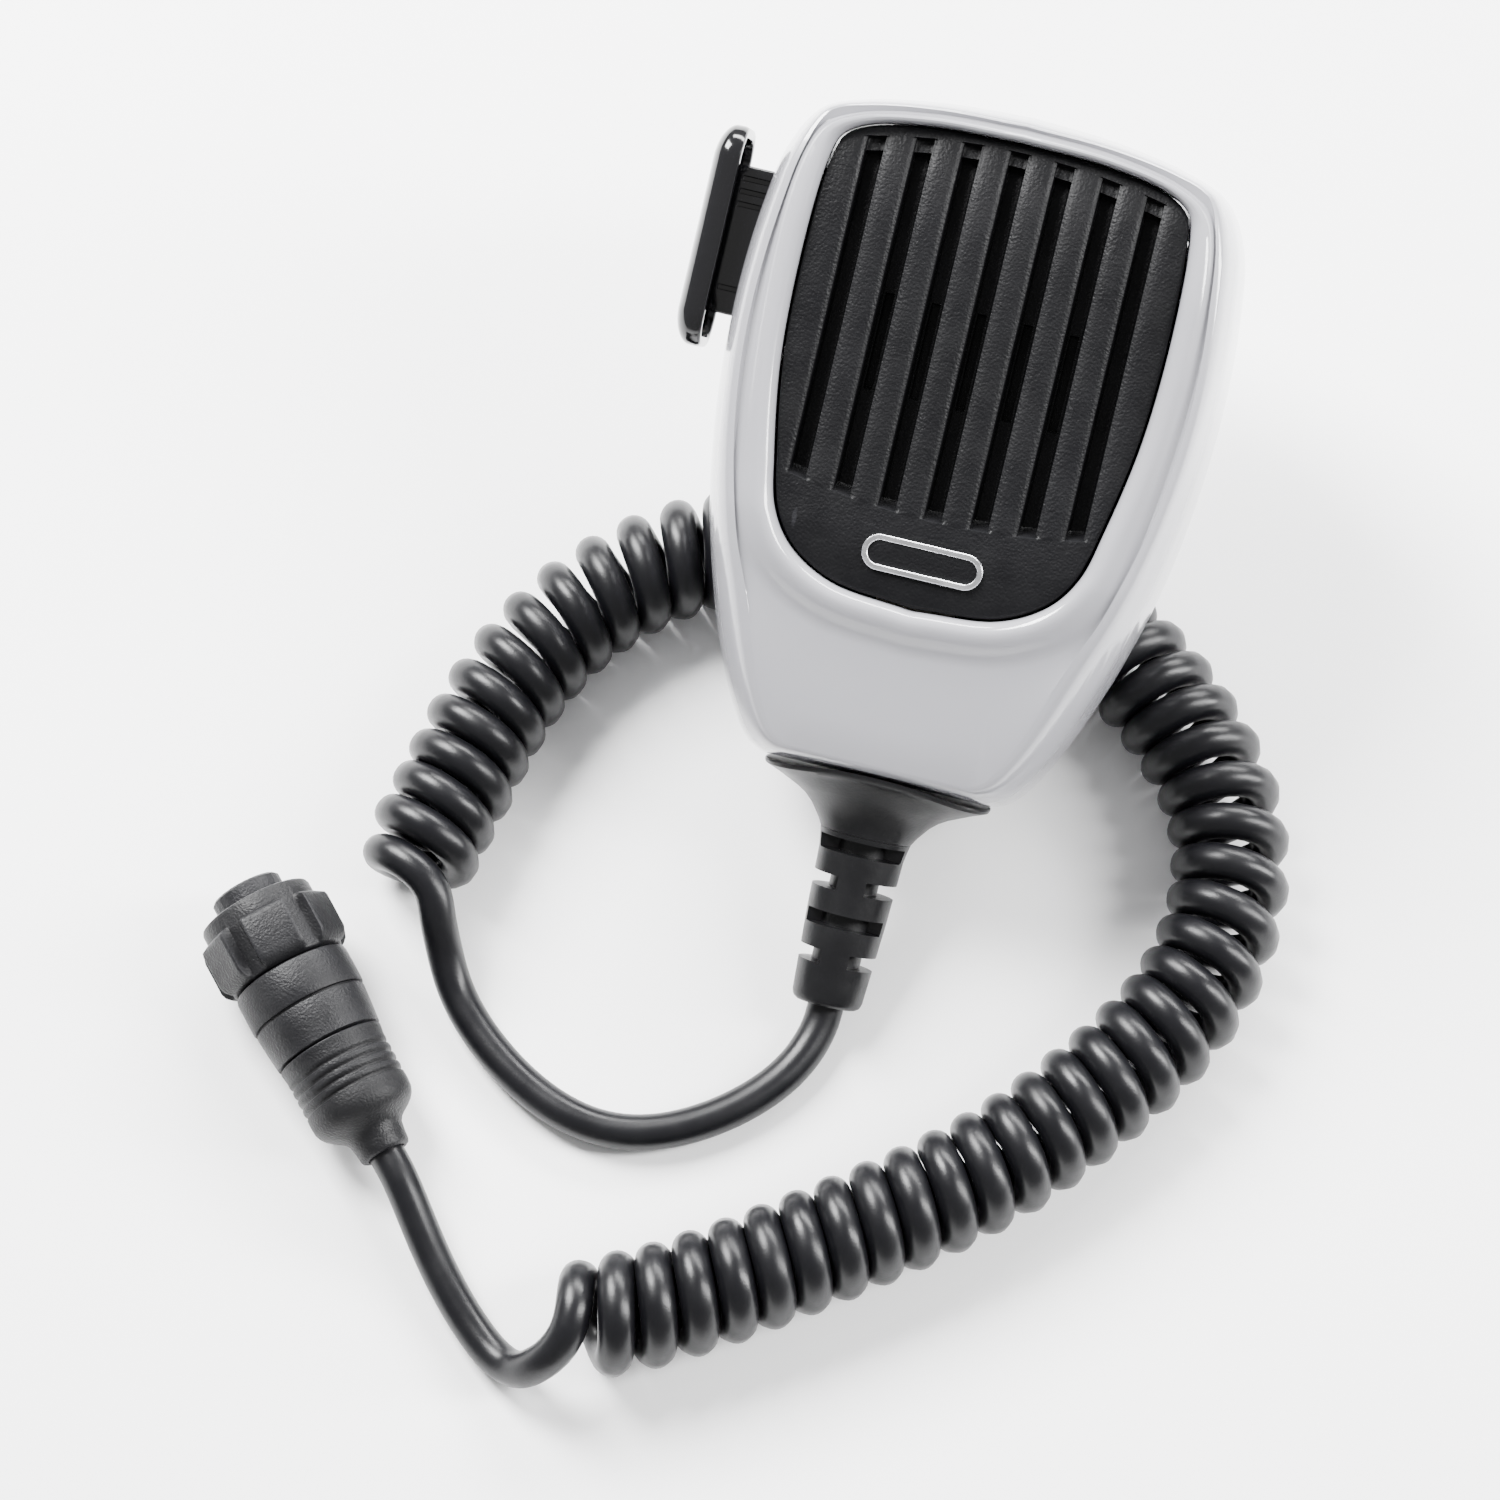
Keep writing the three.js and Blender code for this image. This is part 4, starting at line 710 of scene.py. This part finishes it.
# ------------------------------------------------------------------ rear shell
outer = case_loops(REAR_LEVELS, rear_depth, -1, 0, half_gap)
edge_soft = raised(drawn_in(EDGE_CHAMFER, EDGE_CHAMFER, EDGE_CHAMFER), -half_gap)
inner = case_loops(REAR_LEVELS, rear_depth, -1, WALL, half_gap)[::-1]
back_step = drawn_in(12, 10, 10)
back = [raised(back_step, -rear_depth(back_step[:, 1]))]
inner_floor = raised(back_step, -rear_depth(back_step[:, 1]) + WALL)
points, faces = skin([inner_floor] + inner + [edge_soft] + outer + back)
rear = piece("case_rear", points, faces, CASE, "microphone", "case", ["rear_cover"], 50)


def rod(place, x, y, radius, z0, z1, count=40):
    """A round cutter along the local z, in metres."""
    loops = []
    for z in (z0, z1):
        a = np.linspace(0, TAU, count, endpoint=False)
        loops.append([
            place @ Vector((x + radius * np.cos(t), y + radius * np.sin(t), z)) for t in a
        ])
    return skin(loops)


def in_place(place, part):
    """Points and faces of a part, moved from a local frame into metres."""
    return [place @ Vector(p) for p in part[0]], part[1]


paddle_face = -case_half - PADDLE_REACH
stem_low, stem_high = PADDLE_Y - STEM_LENGTH / 2, PADDLE_Y + STEM_LENGTH / 2
stem_back, stem_front = PADDLE_Z - STEM_DEPTH / 2, PADDLE_Z + STEM_DEPTH / 2
STEM_ROOM = 0.35  # between the stem and its window
window = bevelled_box(
    (paddle_face, stem_low - STEM_ROOM, stem_back - STEM_ROOM),
    (-case_half + 8.6, stem_high + STEM_ROOM, stem_front + STEM_ROOM), 0.3,
)
cut_away(front, [in_place(CASE, window)])
CUT_BELOW = -30  # well under the rear shell
rear_cuts = [rod(CASE, x, y, SCREW_HEAD + 0.05, CUT_BELOW, SCREW_SEAT) for x, y in SCREW_PLACES]
rear_cuts += [
    rod(CASE, x, y, SCREW_HEAD + 0.45, CUT_BELOW, -rear_depth(y) + 0.25) for x, y in SCREW_PLACES
]
cut_away(rear, rear_cuts)

# ------------------------------------------------------------------ grille
GRILLE_THICKNESS = 4.4
GROOVE_EDGE_DROP = 0.22
PORTS_LOW, PORTS_HIGH = 47.05, 58.95  # the open slots over the capsule, along y


def crossing(line, x, upper):
    """Where the line x crosses an outline's upper or lower side."""
    half = line[line[:, 0] >= -1e-6]
    widest = np.argmax(half[:, 0])
    part = half[widest:] if upper else half[:widest + 1]
    order = np.argsort(part[:, 0])
    return float(np.interp(abs(x), part[order, 0], part[order, 1]))


def ease(v, a, b):
    """A smooth step from 0 at a to 1 at b."""
    t = np.clip((v - a) / (b - a), 0, 1)
    return t * t * (3 - 2 * t)


half_width = GROOVE_WIDTH / 2
centres = [(k - (GROOVES - 1) / 2) * GROOVE_PITCH for k in range(GROOVES)]
columns = set()
for c in centres:
    for d in (half_width + 0.55, half_width + 0.3, half_width + 0.12, half_width,
              half_width - 0.1, half_width - 0.35, 0.55, 0.5, 0.0):
        columns.update((round(c + d, 3), round(c - d, 3)))
for c in centres[:-1]:
    middle = c + GROOVE_PITCH / 2
    columns.update((round(middle, 3), round(middle - 0.55, 3), round(middle + 0.55, 3)))
rim_x = grille_half - 0.02
for d in (0, 0.02, 0.07, 0.16, 0.3, 0.5, 0.8, 1.2, 1.7, 2.3, 3.0):
    columns.update((round(rim_x - d, 3), round(d - rim_x, 3)))
columns = sorted(columns)


def groove_low(x):
    """Where the grooves start, along y."""
    return 33.2 + 0.0055 * x * x


def groove_high(x):
    """Where the grooves end, along y."""
    return 79.0 - 0.0063 * x * x


def grille_rows(x):
    """A column's points along y, and where the grille and the groove end there."""
    low, high = crossing(grille_line, x, False), crossing(grille_line, x, True)
    g0, g1 = groove_low(x), groove_high(x)
    g1 = min(g1, high - 0.9)
    g0 = max(g0, low + 0.9)
    rows = [low, low + 0.05, low + 0.15, low + 0.35]
    if g0 - low > 1.2:
        rows += list(np.linspace(low + 0.6, g0 - 0.35, 10))
    else:
        rows += [low + 0.5] * 10
    rows += [g0 - 0.15, g0, g0 + 0.15, g0 + 0.5, g0 + 0.9, g0 + 1.3]
    rows += list(np.linspace(g0 + 2, 46.9, 8)) + [47.0, 47.15, 53, 58.85, 59.0]
    rows += list(np.linspace(59.6, g1 - TOOTH_LENGTH - 0.9, 12))
    rows += [g1 - TOOTH_LENGTH - d for d in (0.4, 0.15, 0.0, -0.12)]
    rows += [g1 - 0.5, g1 - 0.15, g1, g1 + 0.12, g1 + 0.35]
    rows += [high - 0.35, high - 0.15, high - 0.05, high]
    return np.clip(np.maximum.accumulate(np.array(rows)), low, high), low, high, g0, g1


def grille_point(x, y, low, high, g0, g1):
    """The height of the grille's face at a point, grooves and slots included."""
    z = float(front_height(y)) - GRILLE_RECESS
    side = min(grille_half - abs(x), y - low, high - y)
    z -= 0.45 * (1 - min(1, max(0, side) / 0.5)) ** 2
    z -= 0.35 * ease(y, grille_top - 6.5, grille_top)
    nearest = min(centres, key=lambda c: abs(x - c))
    off = abs(x - nearest)
    if g0 < y < g1 and abs(nearest) < 18:
        edge_drop = GROOVE_EDGE_DROP * (1 - ease(off, half_width, half_width + 0.5))
        if off >= half_width:
            z -= edge_drop
        else:
            floor = TOOTH_DEPTH if y > g1 - TOOTH_LENGTH else GROOVE_DEPTH
            wall = ease(half_width - off, 0, 0.12)
            slope = ease(y, g0, g0 + 1.2)
            over_capsule = abs(nearest) < 2.1 * GROOVE_PITCH and PORTS_LOW < y < PORTS_HIGH
            z -= GROOVE_EDGE_DROP + (floor - GROOVE_EDGE_DROP) * wall * slope
            z -= 1.3 if over_capsule and off < 0.52 else 0
    crown = 0.1 * (1 - min(1, (abs(off - GROOVE_PITCH / 2) / 1.6)) ** 2)
    return z - 0.1 + (crown if g0 < y < g1 else 0.1 * 0.5)


front_rows = []
for x in columns:
    rows, *ends = grille_rows(x)
    front_rows.append([(x, float(y), grille_point(x, float(y), *ends)) for y in rows])
row_count = len(front_rows[0])
points = [p for column in front_rows for p in column]
faces = []
for i in range(len(columns) - 1):
    for j in range(row_count - 1):
        a = i * row_count + j
        faces.append((a, a + row_count, a + row_count + 1, a + 1))
border = [i * row_count for i in range(len(columns))]
border += [(len(columns) - 1) * row_count + j for j in range(1, row_count)]
border += [i * row_count + row_count - 1 for i in range(len(columns) - 2, -1, -1)]
border += [j for j in range(row_count - 2, 0, -1)]
start = len(points)
for b in border:
    x, y, _ = points[b]
    points.append((x, y, float(front_height(y)) - GRILLE_RECESS - GRILLE_THICKNESS))
for k in range(len(border)):
    n = (k + 1) % len(border)
    faces.append((border[k], start + k, start + n, border[n]))
faces.append(tuple(start + k for k in range(len(border))))
piece("grille_ribs", points, faces, CASE, "microphone", "grille", ["grille_panel"], 32)

# ------------------------------------------------------------------ emblem, a plain pill
def pill(half_x, half_y, z, count=64):
    """One line of the emblem: a long rounded loop at one height."""
    a = np.linspace(0, TAU, count, endpoint=False)
    x = half_y * np.cos(a) + np.sign(np.cos(a)) * (half_x - half_y)
    y = half_y * np.sin(a) + BADGE_Y
    return np.column_stack([x, y, np.full(count, z)])


badge_z = float(front_height(BADGE_Y)) - GRILLE_RECESS
half_x, half_y = BADGE_LENGTH / 2, BADGE_HEIGHT / 2
badge = [
    pill(half_x, half_y, badge_z - 0.2), pill(half_x, half_y, badge_z + 0.2),
    pill(half_x - 0.1, half_y - 0.1, badge_z + 0.3),
    pill(half_x - BADGE_LINE + 0.1, half_y - BADGE_LINE + 0.1, badge_z + 0.3),
    pill(half_x - BADGE_LINE, half_y - BADGE_LINE, badge_z + 0.2),
    pill(half_x - BADGE_LINE, half_y - BADGE_LINE, badge_z - 0.2),
]
points, faces = skin(badge, ring=True)
piece("emblem_ring", points, faces, CASE, "microphone", "silver", ["grille_badge"])


# ------------------------------------------------------------------ paddle
def paddle_loop(inset, x, bow=0.0, count=16):
    """A rounded rectangle across x; its ends can bow inwards."""
    y0, y1 = PADDLE_Y - PADDLE_LENGTH / 2 + inset, PADDLE_Y + PADDLE_LENGTH / 2 - inset
    z0, z1 = PADDLE_Z - PADDLE_DEPTH / 2 + inset, PADDLE_Z + PADDLE_DEPTH / 2 - inset
    r = max(0.6, 4.2 - inset)
    loop = []
    corners = (
        (y1 - r, z1 - r, 0), (y0 + r, z1 - r, 90), (y0 + r, z0 + r, 180), (y1 - r, z0 + r, 270),
    )
    for cy, cz, start in corners:
        for k in range(count + 1):
            a = np.radians(start + 90 * k / count)
            loop.append((cy + r * np.cos(a), cz + r * np.sin(a)))
    loop = np.array(loop)
    share = np.abs(loop[:, 0] - PADDLE_Y) / (PADDLE_LENGTH / 2)
    return np.column_stack([x + bow * share ** 2.5, loop[:, 0], loop[:, 1]])


inside_face = paddle_face + 3.9
cap = skin([
    paddle_loop(5.6, paddle_face + 0.02, 0.35), paddle_loop(4.0, paddle_face + 0.05, 0.4),
    paddle_loop(2.6, paddle_face + 0.16, 0.5), paddle_loop(1.7, paddle_face + 0.38, 0.5),
    paddle_loop(1.05, paddle_face + 0.68, 0.5), paddle_loop(0.55, paddle_face + 1.1, 0.4),
    paddle_loop(0.22, paddle_face + 1.6, 0.3), paddle_loop(0.05, paddle_face + 2.2, 0.1),
    paddle_loop(0.05, inside_face - 0.5), paddle_loop(0.2, inside_face - 0.12),
    paddle_loop(0.45, inside_face), paddle_loop(1.1, inside_face),
    paddle_loop(1.35, inside_face - 0.12), paddle_loop(1.5, inside_face - 0.9),
    paddle_loop(2.2, inside_face - 1.1), paddle_loop(5.6, inside_face - 1.15),
])
stem_end = -case_half + STEM_INSIDE
stem = bevelled_box(
    (inside_face - 1.4, stem_low, stem_back), (stem_end, stem_high, stem_front), 0.45
)
paddle = piece(
    "ptt_cap", *joined(cap, stem), CASE, "ptt_paddle", "paddle", ["ptt_paddle"]
)
notches = [
    bevelled_box(
        (inside_face + 0.4, y - 0.35, stem_front - 0.8),
        (stem_end + 3, y + 0.35, stem_front + 1), 0.12,
    )
    for y in (stem_low + 3.2, stem_high - 1.6, stem_high - 3.2, stem_high - 4.8)
]
cut_away(paddle, [in_place(CASE, n) for n in notches])

# ------------------------------------------------------------------ springs behind the stem
SPRING_RADIUS, SPRING_WIRE, SPRING_TURNS = 1.3, 0.2, 4
for number in (1, 2):
    low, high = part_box("ptt_spring_%d" % number)
    middle = (low + high) / 2
    turn = np.linspace(0, TAU * SPRING_TURNS, 24 * SPRING_TURNS + 1)
    wire = np.column_stack([
        np.linspace(low[0] + SPRING_WIRE * MM, high[0] - SPRING_WIRE * MM, len(turn)),
        middle[1] + SPRING_RADIUS * MM * np.cos(turn),
        middle[2] + SPRING_RADIUS * MM * np.sin(turn),
    ])
    spring = piece(
        "return_spring_%d" % number, *skin(tube(wire, SPRING_WIRE * MM, 10)),
        Matrix.Identity(4), "microphone", "steel", ["ptt_spring_%d" % number], 60,
    )
    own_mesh(spring)

# ------------------------------------------------------------------ boot and strain relief
def flare_loop(y, half, up, down, bow=0.0, power=2.0, count=96):
    """One round of the boot: an oval with its own width, height above and depth below."""
    a = np.linspace(0, TAU, count, endpoint=False) + 1e-6
    c, s = np.cos(a), np.sin(a)
    x = half * np.sign(c) * np.abs(c) ** (2 / power)
    z = np.where(s > 0, up, down) * np.sign(s) * np.abs(s) ** (2 / power)
    return np.column_stack([x, y + bow * np.abs(s) ** 5, z])


FLARE = [
    (-0.35, 14.4, 11.3, 8.9, 1.2, 2.5), (-0.6, 14.45, 11.3, 8.9, 1.2, 2.5),
    (-0.95, 14.3, 11.1, 8.75, 1.15, 2.5), (-1.25, 13.6, 10.5, 8.4, 1.1, 2.45),
    (-1.6, 12.7, 9.85, 8.05, 1.0, 2.35), (-2.3, 11.2, 9.0, 7.6, 0.8, 2.2),
    (-3.0, 9.7, 8.0, 7.05, 0.55, 2.1), (-3.7, 8.6, 7.3, 6.6, 0.3, 2.0),
    (-4.6, 7.6, 6.6, 6.3, 0.1, 2.0), (-5.5, 6.9, 6.2, 6.1, 0, 2.0),
    (-6.4, 6.25, 5.95, 5.9, 0, 2.0), (-7.2, 5.8, 5.8, 5.8, 0, 2.0),
]
slot_angles = np.linspace(0, TAU, 144, endpoint=False)


def slotted_loop(y, radius, slot):
    """One round of the relief: whole, or cut to its core but for two bridges."""
    c, s = np.cos(slot_angles), np.sin(slot_angles)
    r = np.full(len(slot_angles), radius)
    if slot is not None:
        across = np.abs(s if slot % 2 == 0 else c) * radius
        r = np.where(across > SLOT_BRIDGE / 2 + 0.2, RELIEF_CORE, r)
    return np.column_stack([r * c, np.full(len(r), y), r * s])


def relief_radius(y):
    """The strain relief's radius along the cord."""
    return float(np.interp(-y, (7.2, 9.2, 17.4, 28, 28.7, 29), (5.8, 5.4, 5.1, 4.5, 4.3, 3.9)))


rounds = []
edges = [-BOOT_LENGTH - SLOT_FROM_BOOT - i * SLOT_STEP for i in range(RELIEF_SLOTS)]
stops = [(-7.25, None)]
for i, y in enumerate(edges):
    h = SLOT_WIDTH / 2
    stops += [(y + h + 0.3, None), (y + h + 0.1, None), (y + h, i), (y + h - 0.02, i)]
    stops += [(y - h + 0.02, i), (y - h, i), (y - h - 0.1, None), (y - h - 0.3, None)]
    stops += [(y - h - 1.0, None), (y - h - 2.0, None)]
stops += [(-28.0, None), (-28.5, None), (-28.75, None), (-28.9, None), (-29.0, None)]
for y, slot in stops:
    rounds.append(slotted_loop(y, relief_radius(y), slot))
edge_loop = flare_loop(-0.35, 14.0, 10.9, 8.6, 1.2, 2.5)
neck = flare_loop(-0.35, 5, 5, 5, 0.0, 2.0)
boot_part = skin([neck, edge_loop] + [flare_loop(*f) for f in FLARE], (True, True))
tip = slotted_loop(-29.0, CORD_RADIUS + 0.1, None)
tip_inside = slotted_loop(-27.5, CORD_RADIUS + 0.1, None)
relief_part = skin(rounds + [tip, tip_inside], (True, True))
piece(
    "boot_and_relief", *joined(boot_part, relief_part), CASE,
    "microphone", "rubber", ["strain_relief"], 34,
)

# ------------------------------------------------------------------ plug
def round_loop(z, r, count=216):
    """A circle around the local z."""
    a = np.linspace(0, TAU, count, endpoint=False)
    return np.column_stack([r * np.cos(a), r * np.sin(a), np.full(count, z)])


def turned(profile, count=96):
    """A closed profile of (along, radius) turned around the local z."""
    loops = [round_loop(t, r, count) for t, r in profile]
    return skin(loops, ring=True)


BOOT_PROFILE = [
    (0.0, 2.45), (0.0, 2.9), (0.15, 3.15), (0.5, 3.3), (1.6, 3.4), (2.8, 3.6), (3.4, 4.0),
    (3.9, 4.6), (4.4, 5.35), (4.9, 5.95), (5.5, 6.4), (6.2, 6.68), (7.0, 6.75), (7.6, 6.75),
]
for rib in (8.2, 9.5, 10.8, 12.1):
    BOOT_PROFILE += [(rib, 6.72), (rib + 0.12, 6.45), (rib + 0.35, 6.38), (rib + 0.48, 6.42),
                     (rib + 0.66, 6.68), (rib + 0.95, 6.76)]
BOOT_PROFILE += [(13.6, 6.72), (14.4, 6.85), (14.85, 6.9), (15.0, 6.8), (15.0, 2.45)]
piece("cord_boot", *turned(BOOT_PROFILE), PLUG, "microphone", "plug", ["plug_boot"], 40)

SHELL_PROFILE = [
    (15.3, 3.0), (15.3, 6.85), (15.4, 7.0), (17.5, 7.22), (20.2, 7.45), (20.38, 7.4),
    (20.45, 7.15), (20.7, 7.15), (20.78, 7.5), (20.95, 7.6), (23, 7.62), (25.3, 7.6),
    (25.75, 7.45), (25.95, 7.1), (25.95, 5.9), (31.1, 5.9), (31.2, 5.75), (31.2, 5.0),
    (28.0, 5.0), (28.0, 3.0),
]
piece("plug_body", *turned(SHELL_PROFILE), PLUG, "microphone", "plug", ["plug_shell"], 40)


LOBES = 6
LOBE_FLAT, LOBE_CORNER, VALLEY = 8.4, 8.95, 7.5  # radii of the coupling ring's outside


def grip_loop(z, inset=0.0, lobed=1.0, count_per_lobe=36):
    """The ring's section: six flat lobes with narrow valleys between them."""
    loop = []
    for k in range(LOBES * count_per_lobe):
        a = TAU * k / (LOBES * count_per_lobe)
        d = (a + TAU / 12) % (TAU / 6) - TAU / 12
        flat = LOBE_FLAT / np.cos(d)
        share = 1 - ease(abs(d), 0.335, 0.40)
        r = VALLEY + (min(flat, LOBE_CORNER) - VALLEY) * share * lobed - inset
        loop.append((r * np.cos(a), r * np.sin(a), z))
    return np.array(loop)


ring_loops = [
    round_loop(26.2, 6.2), grip_loop(26.2, 0.3, 0.0), grip_loop(26.4, 0.05, 0.0),
    grip_loop(26.6, 0.0, 0.35), grip_loop(27.2, 0.0, 0.8), grip_loop(27.9, 0.0, 1.0),
    grip_loop(32.4, 0.0, 1.0), grip_loop(32.9, 0.0, 0.9), grip_loop(33.3, 0.05, 0.45),
    grip_loop(33.5, 0.1, 0.05), grip_loop(35.1, 0.1, 0.0), grip_loop(35.45, 0.25, 0.0),
    grip_loop(35.6, 0.55, 0.0), round_loop(35.6, 5.6), round_loop(35.3, 5.35),
    round_loop(32.0, 5.35), round_loop(31.6, 6.2),
]
points, faces = skin(ring_loops, ring=True)
piece("grip_ring", points, faces, PLUG, "coupling_ring", "plug", ["coupling_ring"], 40)

# ------------------------------------------------------------------ hanger button
back_tilt = np.arctan(REAR_SLOPE)
BUTTON = (
    CASE @ Matrix.Translation((0, BUTTON_Y, -float(rear_depth(BUTTON_Y))))
    @ Matrix.Rotation(np.pi - back_tilt, 4, "X")
)
button_profile = [
    (0.05, 1.35), (0.05, 4.6), (0.35, 4.25), (0.8, 3.8), (1.3, 3.6), (2.6, 3.6), (2.9, 3.8),
    (3.0, 4.3), (3.0, 6.2), (3.12, 6.5), (3.4, 6.6), (4.6, 6.6), (4.95, 6.5), (5.2, 6.2),
    (5.38, 5.7), (5.4, 5.2), (5.4, 3.2), (5.3, 3.0), (3.85, 2.95), (3.85, 1.35),
]
piece(
    "hanger_stud", *turned(button_profile, 72), BUTTON,
    "microphone", "steel", ["hanger_button"], 34,
)

# ------------------------------------------------------------------ floor and light
WORLD_STRENGTH = 0.62
floor_stuff = material("pale_floor", (0.93, 0.93, 0.935), 0.55)
shade = noise(floor_stuff, 6, 3, 0.5)
floor_shader = floor_stuff.node_tree.nodes["Principled BSDF"]
floor_stuff.node_tree.links.new(
    ramp(floor_stuff, shade, [(0.3, (0.925, 0.925, 0.93)), (0.7, (0.945, 0.945, 0.95))]),
    floor_shader.inputs["Base Color"],
)
floor_data = bpy.data.meshes.new("floor")
FLOOR = 1.6  # half its side, in metres
floor_data.from_pydata(
    [(-FLOOR, -FLOOR, 0), (FLOOR, -FLOOR, 0), (FLOOR, FLOOR, 0), (-FLOOR, FLOOR, 0)],
    [], [(0, 1, 2, 3)],
)
floor = bpy.data.objects.new("floor", floor_data)
bpy.context.collection.objects.link(floor)
floor_data.materials.append(floor_stuff)

world = bpy.data.worlds.new("studio")
world.use_nodes = True
world.node_tree.nodes["Background"].inputs["Color"].default_value = (1, 1, 1, 1)
world.node_tree.nodes["Background"].inputs["Strength"].default_value = WORLD_STRENGTH
bpy.context.scene.world = world
SCENE_MIDDLE = Vector((0, -0.02, 0.02))


def soft_light(name, offset, size, power):
    """A square area light that points at the object's middle."""
    data = bpy.data.lights.new(name, "AREA")
    data.shape = "RECTANGLE"
    data.size, data.size_y = size
    data.energy = power
    obj = bpy.data.objects.new(name, data)
    bpy.context.collection.objects.link(obj)
    obj.location = SCENE_MIDDLE + Vector(offset)
    obj.rotation_euler = (-Vector(offset)).to_track_quat("-Z", "Y").to_euler()
    return obj


soft_light("key_left", (-0.5, 0.3, 0.6), (0.3, 0.5), 34)
soft_light("fill_right", (0.75, 0.15, 0.5), (0.2, 0.8), 24)
soft_light("top_back", (0.1, 0.8, 0.55), (0.9, 0.2), 24)

bpy.context.view_layer.update()
